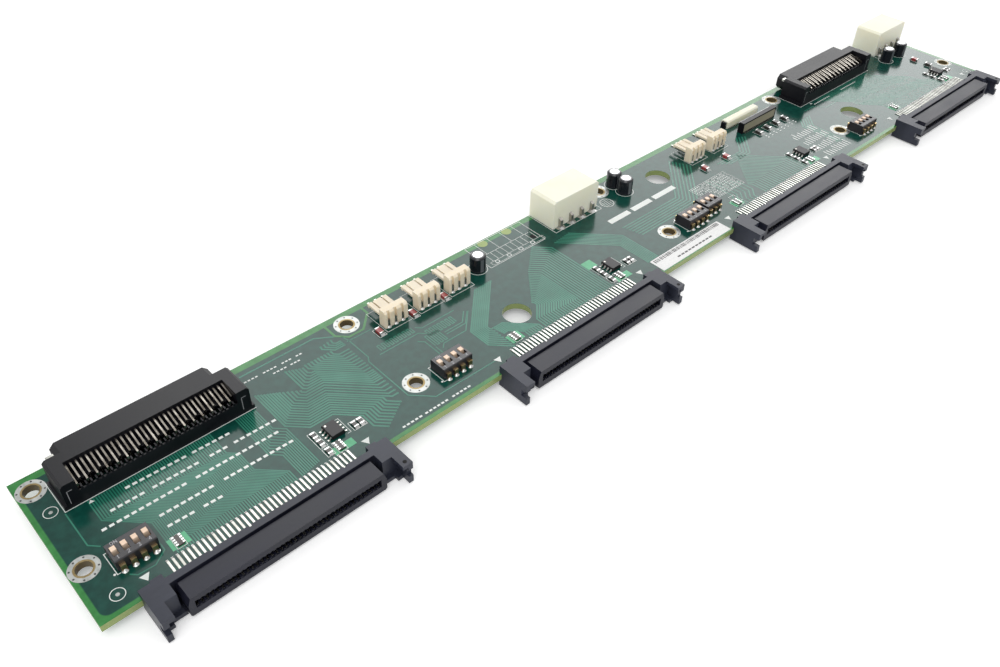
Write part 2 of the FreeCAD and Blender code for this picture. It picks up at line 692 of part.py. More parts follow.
def fan_places():
    """Middle pin of each fan header."""
    return (
        (bay(2) + S.fan_first_x, S.fan_row_y),
        (bay(2) + S.fan_second_x, S.fan_row_y),
        (bay(2) + S.fan_third_x, S.fan_row_y),
        (bay(3) + S.fan_fourth_x, S.fan_pair_y),
        (bay(3) + S.fan_fifth_x, S.fan_pair_y),
    )


def fan_header(index, x, y):
    """Three-way fan header with grooves for its bent pins and a friction lock."""
    body = new_body(f"fan_header_{index}", x, y)
    lock_top = S.fan_height - S.fan_lock_drop
    lock_low = lock_top - S.fan_lock_thick
    lock_end = S.fan_depth + S.fan_lock_depth
    block = [
        (0.0, 0.0),
        (S.fan_depth, 0.0),
        (S.fan_depth, S.fan_height),
        (S.fan_edge, S.fan_height),
        (0.0, S.fan_height - S.fan_edge),
    ]
    prism(body, "block", "side", [block], -S.fan_left, S.fan_right)
    lock = [
        (S.fan_depth, lock_low),
        (lock_end - S.fan_lip, lock_low),
        (lock_end - S.fan_lip, lock_low - S.fan_lip),
        (lock_end, lock_low),
        (lock_end, lock_top),
        (S.fan_depth, lock_top),
    ]
    prism(body, "lock", "side", [lock], -S.fan_left, S.fan_lock_width - S.fan_left)
    slits = [
        rectangle(
            place - S.fan_slit / 2, S.fan_depth + S.fan_slit,
            place + S.fan_slit / 2, lock_end,
        )
        for place in (
            S.fan_lock_width / 4 - S.fan_left,
            S.fan_lock_width * 0.75 - S.fan_left,
        )
    ]
    prism(body, "slits", "top", slits, lock_low - S.fan_lip, lock_top, cut=True)
    half = S.fan_pin / 2
    groove = rectangle(-S.fan_groove / 2, 0.0, S.fan_groove / 2, S.fan_height)
    hole = rectangle(-half, S.fan_axis - half, half, S.fan_axis + half)
    parts = []
    for name, shape, start, end in (
        ("groove", groove, 0.0, S.fan_groove_depth),
        ("pin_hole", hole, S.fan_groove_depth, S.fan_depth),
    ):
        shifted = [(a - S.fan_pitch, b) for a, b in shape]
        parts.append(prism(body, name, "front", [shifted], start, end, cut=True))
    row(body, "pin_grooves", parts, "x", S.fan_pitch, 3)


def fan_pins():
    """Bent square pins of all fan headers."""
    body = new_body("fan_pins")
    half = S.fan_pin / 2
    for index, (x, y) in enumerate(fan_places(), start=1):
        back = y + S.fan_groove_depth
        front = back - S.fan_pin
        profile = [
            (front, TAIL_END),
            (back, TAIL_END),
            (back, S.fan_axis - half),
            (y + S.fan_pin_reach, S.fan_axis - half),
            (y + S.fan_pin_reach, S.fan_axis + half),
            (front, S.fan_axis + half),
        ]
        first = x - S.fan_pitch
        pin = prism(body, f"pin_{index}", "side", [profile], first - half, first + half)
        row(body, f"pins_{index}", [pin], "x", S.fan_pitch, 3)


def capacitor(index, x, y):
    """Round capacitor can with a bevelled rim and two leads."""
    body = new_body(f"capacitor_{index}", x, y)
    can = prism(body, "can", "top", [(0.0, 0.0, S.can_radius)], 0.0, S.can_height)
    middle = number(S.can_height) / 2
    edges = enumerate(can.Shape.Edges, start=1)
    rim = [f"Edge{place}" for place, edge in edges if edge.BoundBox.ZMin > middle]
    bevel = body.newObject("PartDesign::Chamfer", "rim")
    bevel.Base = (can, rim)
    bind(bevel, "Size", S.can_bevel)
    half = S.can_leg / 2
    legs = [
        rectangle(place - half, -half, place + half, half)
        for place in (S.can_leg_pitch / 2, -(S.can_leg_pitch / 2))
    ]
    prism(body, "leads", "top", legs, TAIL_END, 0.0)


DIPS = (
    (bay(1) + S.dip_first_x, S.dip_first_y, 4),
    (bay(2) + S.dip_second_x, S.dip_second_y, 4),
    (bay(3) + S.dip_third_x, S.dip_third_y, 4),
    (bay(3) + S.dip_fourth_x, S.dip_fourth_y, 3),
    (bay(4) + S.dip_fifth_x, S.dip_fifth_y, 4),
)
DIP_TOP = S.dip_height
CHANNEL_TOP = DIP_TOP - S.dip_top
CHANNEL_LOW = CHANNEL_TOP - S.slider_foot - S.dip_play * 2
SLIDER_KNOB = S.dip_window_width - S.dip_play * 2
SLIDER_HALF = (S.dip_window_length - S.slider_travel) / 2 - S.dip_play


def dip_switch(index, x, y, positions):
    """Switch housing with a window and an undercut channel for each slider."""
    body = new_body(f"dip_switch_{index}", x, y)
    half = S.dip_pitch * positions / 2
    section = [
        (0.0, 0.0),
        (S.dip_depth, 0.0),
        (S.dip_depth, DIP_TOP - S.dip_edge),
        (S.dip_depth - S.dip_edge, DIP_TOP),
        (S.dip_edge, DIP_TOP),
        (0.0, DIP_TOP - S.dip_edge),
    ]
    prism(body, "block", "side", [section], -half, half)
    first = S.dip_pitch / 2 - half
    front = (S.dip_depth - S.dip_window_length) / 2
    back = (S.dip_depth + S.dip_window_length) / 2
    knob_half = S.dip_window_width / 2
    foot_half = knob_half + S.slider_flange
    window = rectangle(first - knob_half, front, first + knob_half, back)
    channel = rectangle(first - foot_half, front, first + foot_half, back)
    opening = prism(body, "window", "top", [window], CHANNEL_TOP, DIP_TOP, cut=True)
    bed = prism(body, "channel", "top", [channel], CHANNEL_LOW, CHANNEL_TOP, cut=True)
    row(body, "windows", [opening, bed], "x", S.dip_pitch, positions)


def dip_slider(number_in_row, x, y):
    """Slider with a broad foot under the top plate and a knob through the window."""
    body = new_body(f"switch_slider_{number_in_row}", x, y)
    knob = SLIDER_KNOB / 2
    foot = knob + S.slider_flange
    low = CHANNEL_LOW + S.dip_play
    shoulder = low + S.slider_foot
    top = DIP_TOP + S.slider_rise
    half_section = [(foot, low), (foot, shoulder), (knob, shoulder), (knob, top)]
    section = half_section + mirrored(half_section)
    prism(body, "slider", "front", [section], -SLIDER_HALF, SLIDER_HALF)


def dip_leads():
    """Leads of all switches, bent down at both long sides and soldered through the board."""
    body = new_body("switch_leads")
    wide = S.dip_lead_width / 2
    for index, (x, y, positions) in enumerate(DIPS, start=1):
        first = x - S.dip_pitch * (positions - 1) / 2
        made = []
        for side, face, sign in (("front", y, -1), ("back", y + S.dip_depth, 1)):
            outer = face + S.dip_lead_reach * sign
            inner = outer - S.dip_lead_thick * sign
            bent = [
                (inner, TAIL_END),
                (outer, TAIL_END),
                (outer, S.dip_lead_top),
                (face, S.dip_lead_top),
                (face, S.dip_lead_top - S.dip_lead_thick),
                (inner, S.dip_lead_top - S.dip_lead_thick),
            ]
            name = f"{side}_{index}"
            made.append(prism(body, name, "side", [bent], first - wide, first + wide))
        row(body, f"leads_{index}", made, "x", S.dip_pitch, positions)


def small_chips():
    """Moulded bodies of the small eight-lead chips, one beside each drive socket."""
    body = new_body("small_chips", bay(1) + S.chip_x, S.chip_y)
    half = S.chip_width / 2
    top = S.chip_lift + S.chip_height
    waist = S.chip_lift + S.chip_height / 2
    section = [
        (S.chip_slant - half, S.chip_lift),
        (half - S.chip_slant, S.chip_lift),
        (half, waist),
        (half - S.chip_slant, top),
        (S.chip_slant - half, top),
        (-half, waist),
    ]
    long = S.chip_length / 2
    chip = prism(body, "chip", "front", [section], -long, long)
    row(body, "chips", [chip], "x", S.bay_pitch, 3)
    last = S.bay_pitch * 3 + S.chip_last_shift
    shifted = [(a + last, b) for a, b in section]
    prism(body, "last_chip", "front", [shifted], -long, long)


def chip_leads():
    """Gull-wing leads of the small chips."""
    body = new_body("small_chip_leads", bay(1) + S.chip_x, S.chip_y)
    half = S.chip_width / 2
    first = -(S.chip_pitch * 1.5)
    thick = S.chip_lead_thick
    reach = half + S.chip_lead_reach
    heel = reach - S.chip_lead_foot
    profile = [
        (half, S.chip_lead_top - thick),
        (heel, 0.0),
        (reach, 0.0),
        (reach, thick),
        (heel + thick / 2, thick),
        (half, S.chip_lead_top),
    ]
    wide = S.chip_lead_width / 2
    for bay_number in range(4):
        shift = S.bay_pitch * bay_number
        if bay_number == 3:
            shift = shift + S.chip_last_shift
        pair = [[(a + shift, b) for a, b in side] for side in (profile, mirrored(profile))]
        lead = prism(body, f"lead_{bay_number}", "front", pair, first - wide, first + wide)
        row(body, f"leads_{bay_number}", [lead], "y", S.chip_pitch, 4)


def centred(x, y, length_x, length_y):
    """Rectangle round its middle."""
    return rectangle(x - length_x / 2, y - length_y / 2, x + length_x / 2, y + length_y / 2)


def chip_parts():
    """Chip resistors, resistor arrays and small diodes soldered on the board."""
    body = new_body("chip_parts")
    for bay_number in range(1, 5):
        start = bay(bay_number)
        chip_start = start + S.chip_last_shift if bay_number == 4 else start
        resistors = [
            centred(chip_start + dx, y, S.part_width, S.part_length)
            for dx, y in (
                (S.part_left_x, S.part_back_y),
                (S.part_left_x, S.part_middle_y),
                (S.part_left_x, S.part_front_y),
                (S.part_right_x, S.part_right_y),
                (S.part_far_x, S.part_right_y),
            )
        ]
        arrays = [
            centred(start + S.array_left_x, S.array_left_y, S.array_width, S.array_length),
            centred(chip_start + S.array_chip_x, S.array_chip_y, S.array_width, S.array_length),
        ]
        prism(body, f"bay_parts_{bay_number}", "top", resistors + arrays, 0.0, S.part_height)
    fans = fan_places()
    diodes = [(x + S.diode_fan_x, S.diode_fan_y) for x, _ in fans[:3]]
    diodes += [(x + S.diode_pair_x, S.diode_pair_y) for x, _ in fans[3:]]
    diodes += [
        (bay(3) + S.diode_strip_x + S.diode_strip_pitch * step, S.diode_strip_y)
        for step in range(4)
    ]
    diodes += [
        (bay(4) + S.diode_end_x, S.diode_end_y),
        (bay(4) + S.diode_end_x, S.diode_end_y - S.diode_end_step),
    ]
    blocks = [centred(x, y, S.diode_width, S.diode_length) for x, y in diodes]
    prism(body, "diodes", "top", blocks, 0.0, S.diode_height)


def ribbon_sockets():
    """Low black socket with a panel in its front, and an ivory one with end tabs."""
    half = S.strip_length / 2
    top = S.strip_black_height
    section = [
        (0.0, 0.0),
        (S.strip_black_depth, 0.0),
        (S.strip_black_depth, top - S.strip_edge),
        (S.strip_black_depth - S.strip_edge, top),
        (0.0, top),
    ]
    black_x = bay(3) + S.strip_black_x
    ivory_x = bay(3) + S.strip_ivory_x
    black = new_body("ribbon_socket_black", black_x, S.strip_black_y)
    prism(black, "block", "side", [section], -half, half)
    face = rectangle(
        S.strip_frame - half, S.strip_frame, half - S.strip_frame, top - S.strip_frame,
    )
    prism(black, "recess", "front", [face], 0.0, S.strip_panel, cut=True)
    panel = new_body("ribbon_socket_panel", black_x, S.strip_black_y)
    prism(panel, "panel", "front", [face], 0.0, S.strip_panel)
    ivory = new_body("ribbon_socket_ivory", ivory_x, S.strip_ivory_y)
    depth = S.strip_ivory_depth
    crown_top = S.strip_ivory_height
    crown = [
        (0.0, 0.0),
        (depth, 0.0),
        (depth, crown_top - S.strip_edge),
        (depth - S.strip_edge, crown_top),
        (S.strip_edge, crown_top),
        (0.0, crown_top - S.strip_edge),
    ]
    prism(ivory, "block", "side", [crown], S.strip_leg - half, half - S.strip_leg)
    tabs = new_body("ribbon_socket_tabs", ivory_x, S.strip_ivory_y)
    leg = rectangle(S.strip_frame, 0.0, depth - S.strip_frame, crown_top - S.strip_edge)
    prism(tabs, "left_tab", "side", [leg], -half, S.strip_leg - half)
    prism(tabs, "right_tab", "side", [leg], half - S.strip_leg, half)


def bar_label():
    """Paper label lying on the board."""
    body = new_body("bar_label", bay(3) + S.label_x - S.label_length / 2, S.label_y)
    prism(body, "paper", "top", [rectangle(0.0, 0.0, S.label_length, S.label_depth)],
          0.0, S.label_thick)


circuit_board()
for bay_index in (1, 2, 3, 4):
    drive_socket(bay_index)
    socket_leads(bay_index)
for side_index in (1, 2):
    cable_connector(side_index)
    cable_pins(side_index)
    power_header(side_index)
power_pins()
for fan_index, (fan_x, fan_y) in enumerate(fan_places(), start=1):
    fan_header(fan_index, fan_x, fan_y)
fan_pins()
capacitor(1, bay(2) + S.can_first_x, S.can_first_y)
capacitor(2, bay(3) + S.can_second_x, S.can_second_y)
capacitor(3, bay(3) + S.can_third_x, S.can_third_y)
capacitor(4, bay(4) + S.can_fourth_x, S.can_fourth_y)
capacitor(5, bay(4) + S.can_fifth_x, S.can_fifth_y)
slider_number = 0
for dip_index, (dip_x, dip_y, dip_positions) in enumerate(DIPS, start=1):
    dip_switch(dip_index, dip_x, dip_y, dip_positions)
    for position in range(dip_positions):
        slider_number += 1
        slider_x = dip_x + S.dip_pitch * (position - (dip_positions - 1) / 2)
        slider_y = dip_y + S.dip_depth / 2 + S.slider_travel / 2
        dip_slider(slider_number, slider_x, slider_y)
dip_leads()
small_chips()
chip_leads()
chip_parts()
ribbon_sockets()
bar_label()

doc.recompute()
for item in doc.Objects:
    for state in item.State:
        if state in ("Invalid", "Error"):
            raise RuntimeError(f"{item.Label} is {state}")
bodies = [item for item in doc.Objects if item.TypeId == "PartDesign::Body"]
for body in bodies:
    if body.Shape.isNull() or not body.Shape.isValid():
        raise RuntimeError(f"{body.Label} has no sound shape")
for body in bodies:
    body.Shape.exportStep(os.path.join("parts", body.Label + ".step"))
print(len(bodies), "nodes written")
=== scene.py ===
import math

import bpy
import numpy as np
from mathutils import Matrix, Vector


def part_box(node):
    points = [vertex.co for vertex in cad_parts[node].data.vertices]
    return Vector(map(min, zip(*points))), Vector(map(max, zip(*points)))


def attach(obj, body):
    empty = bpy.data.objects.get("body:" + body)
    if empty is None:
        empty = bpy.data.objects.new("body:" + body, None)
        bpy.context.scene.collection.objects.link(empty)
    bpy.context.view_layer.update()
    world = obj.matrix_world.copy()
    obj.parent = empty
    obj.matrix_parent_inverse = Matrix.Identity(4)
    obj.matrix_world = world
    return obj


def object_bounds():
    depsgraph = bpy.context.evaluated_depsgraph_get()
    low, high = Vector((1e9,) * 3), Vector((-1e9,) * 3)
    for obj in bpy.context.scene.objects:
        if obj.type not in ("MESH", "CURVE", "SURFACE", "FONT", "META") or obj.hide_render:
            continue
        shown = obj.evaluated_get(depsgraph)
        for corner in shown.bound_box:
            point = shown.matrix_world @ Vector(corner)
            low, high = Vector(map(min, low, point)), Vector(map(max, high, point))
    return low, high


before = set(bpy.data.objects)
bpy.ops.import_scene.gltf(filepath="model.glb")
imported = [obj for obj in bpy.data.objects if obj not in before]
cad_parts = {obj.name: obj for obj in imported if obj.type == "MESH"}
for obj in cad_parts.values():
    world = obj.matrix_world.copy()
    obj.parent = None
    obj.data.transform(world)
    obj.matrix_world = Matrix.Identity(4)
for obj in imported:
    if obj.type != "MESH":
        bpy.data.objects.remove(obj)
CAD_BOX = [list(corner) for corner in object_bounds()]
BODY = "backplane"

# Board frame, in mm: x along the edge with the drive sockets, y across the board from that edge,
# z up from the component side. It maps to the row frame by one shift.
MM = 0.001
BOARD_LOW, BOARD_HIGH = (np.array(corner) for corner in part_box("circuit_board"))
SHIFT = np.array([BOARD_LOW[0], BOARD_LOW[1], BOARD_HIGH[2]])
BOARD_SIZE = (BOARD_HIGH - BOARD_LOW) / MM
UNDERSIDE = -BOARD_SIZE[2]
LEAD_PITCH = 1.27
LEAD_COUNT = 40
CABLE_LEADS = 34
SWITCH_PITCH = 2.54
FAN_PITCH = 2.54
POWER_PITCH = 5.08
FAN_MIDDLE_PIN = 3.9

# Heights of the thin layers above the board's face, from the lowest to the highest.
COPPER_RISE = 0.02
POUR_RISE = 0.024
VIA_RISE = 0.025
PAD_RISE = 0.03
PRINT_RISE = 0.05


def extent(node):
    """Lowest and highest corner of a CAD node in board millimetres."""
    low, high = (np.array(corner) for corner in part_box(node))
    return (low - SHIFT) / MM, (high - SHIFT) / MM


def centre_of(node):
    """Middle of a CAD node seen from above, in board millimetres."""
    low, high = extent(node)
    return (low[:2] + high[:2]) / 2


# A bay starts at its socket's first lead. Its small chip and the parts round it are placed from
# the same start, apart from those of the last bay, which stand further left.
HALF_ROW = LEAD_PITCH * (LEAD_COUNT - 1) / 2
BAYS = [centre_of(f"socket_leads_{index}")[0] - HALF_ROW for index in range(1, 5)]
CHIP_SHIFT = -3.4
CHIP_STARTS = BAYS[:3] + [BAYS[3] + CHIP_SHIFT]

CONNECTOR_X = [centre_of(f"cable_connector_{index}")[0] for index in (1, 2)]
CONNECTOR_Y = extent("cable_connector_1")[0][1]
FAN_MIDDLES = [extent(f"fan_header_{index}")[0][0] + FAN_MIDDLE_PIN for index in range(1, 6)]
STRIP_X = extent("ribbon_socket_black")[0][0]
DIODES = [(x - 6.25, 36.1) for x in FAN_MIDDLES[:3]] + [(x - 2.9, 29.9) for x in FAN_MIDDLES[3:]]
DIODES += [(STRIP_X + 5.65 + 5.67 * step, 32.6) for step in range(4)]
DIODES += [(BAYS[3] + 51.6, 25.5), (BAYS[3] + 51.6, 18.9)]


def switch_places(index):
    """Lowest and highest corner of a switch, and the middles of its positions along the board."""
    low, high = extent(f"dip_switch_{index}")
    count = round((high[0] - low[0]) / SWITCH_PITCH)
    return low, high, low[0] + SWITCH_PITCH * (np.arange(count) + 0.5)


# Materials

MASK_ROUGH = 0.16
MASK_SHINE = 0.22
DEEP_GREEN = ((0.0030, 0.045, 0.034), (0.0055, 0.064, 0.048))
BRIGHT_GREEN = ((0.030, 0.18, 0.042), (0.050, 0.25, 0.065))
CUT_EDGE = ((0.16, 0.24, 0.07), (0.42, 0.48, 0.20))
SOCKET_BODY = ((0.017, 0.020, 0.032), (0.034, 0.038, 0.056))
SOCKET_NOSE = ((0.006, 0.007, 0.014), (0.013, 0.014, 0.026))

# The board's bare border along each side, the field's corner radius and the softness of its edge,
# and how far below the faces the cut edge's colour starts, in mm.
BARE_SIDE = 1.35
BARE_FRONT = 1.25
BARE_BACK = 2.3
FIELD_CORNER = 2.2
FIELD_BLUR = 0.15
FACE_SKIN = 0.02

# Half the width of a socket's nose and how far in front of the board it starts, in mm.
NOSE_HALF = 27.4
NOSE_GAP = 1.9


def new_material(name, colour, rough, metal=0.0, specular=0.5):
    """Principled material with its constants on the sockets, and its nodes, links and shader."""
    material = bpy.data.materials.new(name)
    material.use_nodes = True
    nodes = material.node_tree.nodes
    shader = nodes["Principled BSDF"]
    shader.inputs["Base Color"].default_value = (*colour, 1.0)
    shader.inputs["Roughness"].default_value = rough
    shader.inputs["Metallic"].default_value = metal
    shader.inputs["Specular IOR Level"].default_value = specular
    return material, nodes, material.node_tree.links, shader


def noise_on_object(nodes, links, scale, detail=4.0, stretch=(1.0, 1.0, 1.0)):
    """Noise on Object coordinates, stretched by a Mapping node."""
    place = nodes.new("ShaderNodeTexCoord")
    mapping = nodes.new("ShaderNodeMapping")
    mapping.inputs["Scale"].default_value = stretch
    noise = nodes.new("ShaderNodeTexNoise")
    noise.inputs["Scale"].default_value = scale
    noise.inputs["Detail"].default_value = detail
    links.new(place.outputs["Object"], mapping.inputs["Vector"])
    links.new(mapping.outputs["Vector"], noise.inputs["Vector"])
    return noise


def ramp_between(nodes, links, factor, low, high, dark, light):
    """Colour ramp from dark to light between two positions of a factor."""
    ramp = nodes.new("ShaderNodeValToRGB")
    ramp.color_ramp.elements[0].position = low
    ramp.color_ramp.elements[1].position = high
    ramp.color_ramp.elements[0].color = (*dark, 1.0)
    ramp.color_ramp.elements[1].color = (*light, 1.0)
    links.new(factor, ramp.inputs["Fac"])
    return ramp.outputs["Color"]


def mottled(nodes, links, shader, scale, detail, dark, light, stretch=(1.0, 1.0, 1.0)):
    """Noise that leads the base colour from dark to light. The noise is given back for more use."""
    noise = noise_on_object(nodes, links, scale, detail, stretch).outputs["Fac"]
    colour = ramp_between(nodes, links, noise, 0.3, 0.7, dark, light)
    links.new(colour, shader.inputs["Base Color"])
    return noise


def add_bump(nodes, links, shader, height, strength, distance):
    """Bump from a height, into the shader's normal."""
    bump = nodes.new("ShaderNodeBump")
    bump.inputs["Strength"].default_value = strength
    bump.inputs["Distance"].default_value = distance
    links.new(height, bump.inputs["Height"])
    links.new(bump.outputs["Normal"], shader.inputs["Normal"])


def vary_roughness(nodes, links, shader, factor, low, high):
    """Roughness between low and high, by a factor."""
    spread = nodes.new("ShaderNodeMapRange")
    spread.inputs["To Min"].default_value = low
    spread.inputs["To Max"].default_value = high
    links.new(factor, spread.inputs["Value"])
    links.new(spread.outputs["Result"], shader.inputs["Roughness"])


def moulded(name, dark, light, rough, grain=900.0, strength=0.12, specular=0.5):
    """Moulded plastic: slow mottling in the colour and a fine grain in the surface."""
    material, nodes, links, shader = new_material(name, light, rough, specular=specular)
    slow = mottled(nodes, links, shader, 60.0, 3.0, dark, light)
    fine = noise_on_object(nodes, links, grain, 6.0)
    add_bump(nodes, links, shader, fine.outputs["Fac"], strength, 0.0001)
    vary_roughness(nodes, links, shader, slow, rough - 0.05, rough + 0.05)
    return material


def nylon(name, dark, light):
    """Unfilled nylon, which lets some light through its thin walls."""
    material = moulded(name, dark, light, 0.45, 600.0, 0.06)
    shader = material.node_tree.nodes["Principled BSDF"]
    shader.inputs["Specular IOR Level"].default_value = 0.3
    shader.inputs["Subsurface Weight"].default_value = 0.35
    shader.inputs["Subsurface Radius"].default_value = (1.0, 0.9, 0.7)
    shader.inputs["Subsurface Scale"].default_value = 0.003
    return material


def plated(name, dark, light, rough):
    """Tinned or gilt metal: streaks along the lead in colour and roughness."""
    material, nodes, links, shader = new_material(name, light, rough, 1.0)
    streak = mottled(nodes, links, shader, 700.0, 4.0, dark, light, (1.0, 0.35, 1.0))
    vary_roughness(nodes, links, shader, streak, rough - 0.08, rough + 0.12)
    return material


def masked(name, dark, light, scale):
    """Glossy solder mask over copper or bare laminate, a little uneven in colour."""
    material, nodes, links, shader = new_material(name, light, MASK_ROUGH, specular=MASK_SHINE)
    mottled(nodes, links, shader, scale, 3.0, dark, light)
    return material


def calculated(nodes, links, operation, first, second):
    """Result of one operation on two values, each a number or another node's output."""
    node = nodes.new("ShaderNodeMath")
    node.operation = operation
    for socket, value in zip(node.inputs, (first, second)):
        if isinstance(value, (int, float)):
            socket.default_value = value
        else:
            links.new(value, socket)
    return node.outputs[0]


def mixed(nodes, links, factor, first, second):
    """Mix of two colours: the first where the factor is zero, the second where it is one."""
    node = nodes.new("ShaderNodeMix")
    node.data_type = "RGBA"
    links.new(factor, node.inputs["Factor"])
    links.new(first, node.inputs[6])
    links.new(second, node.inputs[7])
    return node.outputs[2]


def step_from(nodes, links, value, low, high):
    """Zero below low and one above high."""
    node = nodes.new("ShaderNodeMapRange")
    node.inputs["From Min"].default_value = low
    node.inputs["From Max"].default_value = high
    links.new(value, node.inputs["Value"])
    return node.outputs["Result"]


def object_axes(nodes, links):
    """Object coordinates, as a vector and as its three axes."""
    place = nodes.new("ShaderNodeTexCoord")
    split = nodes.new("ShaderNodeSeparateXYZ")
    links.new(place.outputs["Object"], split.inputs["Vector"])
    return place.outputs["Object"], split.outputs


def board_material():
    """Solder mask over laminate: a deep green field inside a bright border without copper, and
    cut edges in pale yellow green with the layers of the laminate. The field has round corners:
    what its margins in x and y lack of the corner's radius is squared, summed and rooted, and
    the field ends where that root reaches the radius."""
    material, nodes, links, shader = new_material(
        "solder_mask", DEEP_GREEN[1], MASK_ROUGH, specular=MASK_SHINE,
    )
    place, axes = object_axes(nodes, links)
    corner = FIELD_CORNER * MM
    bands = (
        ("X", BOARD_LOW[0] + BARE_SIDE * MM, BOARD_HIGH[0] - BARE_SIDE * MM),
        ("Y", BOARD_LOW[1] + BARE_FRONT * MM, BOARD_HIGH[1] - BARE_BACK * MM),
    )
    total = 0.0
    for axis, low, high in bands:
        from_low = calculated(nodes, links, "SUBTRACT", axes[axis], float(low))
        from_high = calculated(nodes, links, "SUBTRACT", float(high), axes[axis])
        margin = calculated(nodes, links, "MINIMUM", from_low, from_high)
        lack = calculated(nodes, links, "SUBTRACT", corner, margin)
        short = calculated(nodes, links, "MAXIMUM", lack, 0.0)
        square = calculated(nodes, links, "MULTIPLY", short, short)
        total = calculated(nodes, links, "ADD", square, total)
    reach = calculated(nodes, links, "SQRT", total, 0.0)
    depth_inside = calculated(nodes, links, "SUBTRACT", corner, reach)
    inside = step_from(nodes, links, depth_inside, -FIELD_BLUR * MM, FIELD_BLUR * MM)
    weave = noise_on_object(nodes, links, 420.0, 2.0)
    field = ramp_between(nodes, links, weave.outputs["Fac"], 0.35, 0.7, *DEEP_GREEN)
    rim = ramp_between(nodes, links, weave.outputs["Fac"], 0.3, 0.7, *BRIGHT_GREEN)
    top = mixed(nodes, links, inside, rim, field)
    centre = float((BOARD_LOW[2] + BOARD_HIGH[2]) / 2)
    depth = calculated(nodes, links, "SUBTRACT", axes["Z"], centre)
    level = calculated(nodes, links, "ABSOLUTE", depth, 0.0)
    face_level = float(BOARD_SIZE[2] / 2 - FACE_SKIN) * MM
    face = calculated(nodes, links, "GREATER_THAN", level, face_level)
    layers = nodes.new("ShaderNodeTexWave")
    layers.bands_direction = "Z"
    layers.inputs["Scale"].default_value = 900.0
    layers.inputs["Distortion"].default_value = 1.5
    links.new(place, layers.inputs["Vector"])
    cut = ramp_between(nodes, links, layers.outputs["Fac"], 0.2, 0.8, *CUT_EDGE)
    links.new(mixed(nodes, links, face, cut, top), shader.inputs["Base Color"])
    ripple = noise_on_object(nodes, links, 140.0, 3.0)
    add_bump(nodes, links, shader, ripple.outputs["Fac"], 0.08, 0.0002)
    return material


def socket_material():
    """Grey moulding with a darker nose: the nose lies in front of the board's edge, within a half
    width of the nearest socket's middle, and the middles repeat at an even pitch."""
    material, nodes, links, shader = new_material("socket_grey", SOCKET_BODY[0], 0.42, specular=0.28)
    _, axes = object_axes(nodes, links)
    pitch = float(BAYS[1] - BAYS[0]) * MM
    first = float(SHIFT[0] + (BAYS[0] + HALF_ROW) * MM)
    along = calculated(nodes, links, "SUBTRACT", axes["X"], first)
    turns = calculated(nodes, links, "DIVIDE", along, pitch)
    nearest = calculated(nodes, links, "ROUND", turns, 0.0)
    offset = calculated(nodes, links, "SUBTRACT", turns, nearest)
    share = calculated(nodes, links, "ABSOLUTE", offset, 0.0)
    across = calculated(nodes, links, "MULTIPLY", share, pitch)
    within = calculated(nodes, links, "LESS_THAN", across, NOSE_HALF * MM)
    ahead = calculated(nodes, links, "LESS_THAN", axes["Y"], float(SHIFT[1]) - NOSE_GAP * MM)
    nose = calculated(nodes, links, "MULTIPLY", within, ahead)
    slow = noise_on_object(nodes, links, 60.0, 4.0, (1.0, 3.0, 1.0))
    body = ramp_between(nodes, links, slow.outputs["Fac"], 0.3, 0.7, *SOCKET_BODY)
    dark = ramp_between(nodes, links, slow.outputs["Fac"], 0.3, 0.7, *SOCKET_NOSE)
    links.new(mixed(nodes, links, nose, body, dark), shader.inputs["Base Color"])
    vary_roughness(nodes, links, shader, slow.outputs["Fac"], 0.32, 0.52)
    fine = noise_on_object(nodes, links, 900.0, 6.0)
    add_bump(nodes, links, shader, fine.outputs["Fac"], 0.12, 0.0001)
    return material


def paper_material():
    """White label stock with faint fibres."""
    material, nodes, links, shader = new_material("label_paper", (0.85, 0.85, 0.84), 0.55)
    fibres = mottled(nodes, links, shader, 1500.0, 5.0, (0.76, 0.76, 0.75), (0.88, 0.88, 0.87))
    add_bump(nodes, links, shader, fibres, 0.1, 0.00005)
    return material


MASK = board_material()
COPPER = masked("masked_copper", (0.020, 0.155, 0.102), (0.040, 0.225, 0.152), 90.0)
LAMINATE = masked("masked_laminate", *BRIGHT_GREEN, 90.0)
BARE_LAMINATE = moulded("bare_laminate", (0.17, 0.26, 0.05), (0.28, 0.37, 0.09), 0.35, specular=0.3)
MINT = masked("masked_mint", (0.06, 0.36, 0.17), (0.10, 0.46, 0.24), 300.0)
SOCKET_GREY = socket_material()
BLACK = moulded("connector_black", (0.003, 0.003, 0.005), (0.007, 0.007, 0.010), 0.42, specular=0.22)
CHIP_BLACK = moulded("chip_black", (0.012, 0.011, 0.012), (0.024, 0.022, 0.024), 0.5, specular=0.35)
SWITCH_BLACK = moulded("switch_black", (0.010, 0.009, 0.012), (0.022, 0.020, 0.024), 0.40)
IVORY = nylon("ivory_nylon", (0.91, 0.88, 0.69), (0.95, 0.93, 0.78))
FAN_IVORY = nylon("fan_ivory", (0.85, 0.71, 0.52), (0.93, 0.81, 0.63))
SLIDER = moulded("slider_peach", (0.76, 0.52, 0.36), (0.88, 0.68, 0.52), 0.42)
OLIVE = moulded("olive_panel", (0.28, 0.26, 0.18), (0.36, 0.33, 0.24), 0.5)
SLEEVE = moulded("capacitor_sleeve", (0.004, 0.005, 0.008), (0.010, 0.011, 0.016), 0.22, 500.0, 0.05)
CERAMIC = moulded("chip_ceramic", (0.020, 0.018, 0.016), (0.060, 0.052, 0.045), 0.4)
RED_DIODE = moulded("diode_red", (0.22, 0.020, 0.022), (0.38, 0.055, 0.055), 0.3)
TIN = plated("tinned_lead", (0.22, 0.22, 0.20), (0.48, 0.48, 0.45), 0.30)
PIN_TIN = plated("pin_tin", (0.13, 0.115, 0.095), (0.46, 0.43, 0.38), 0.26)
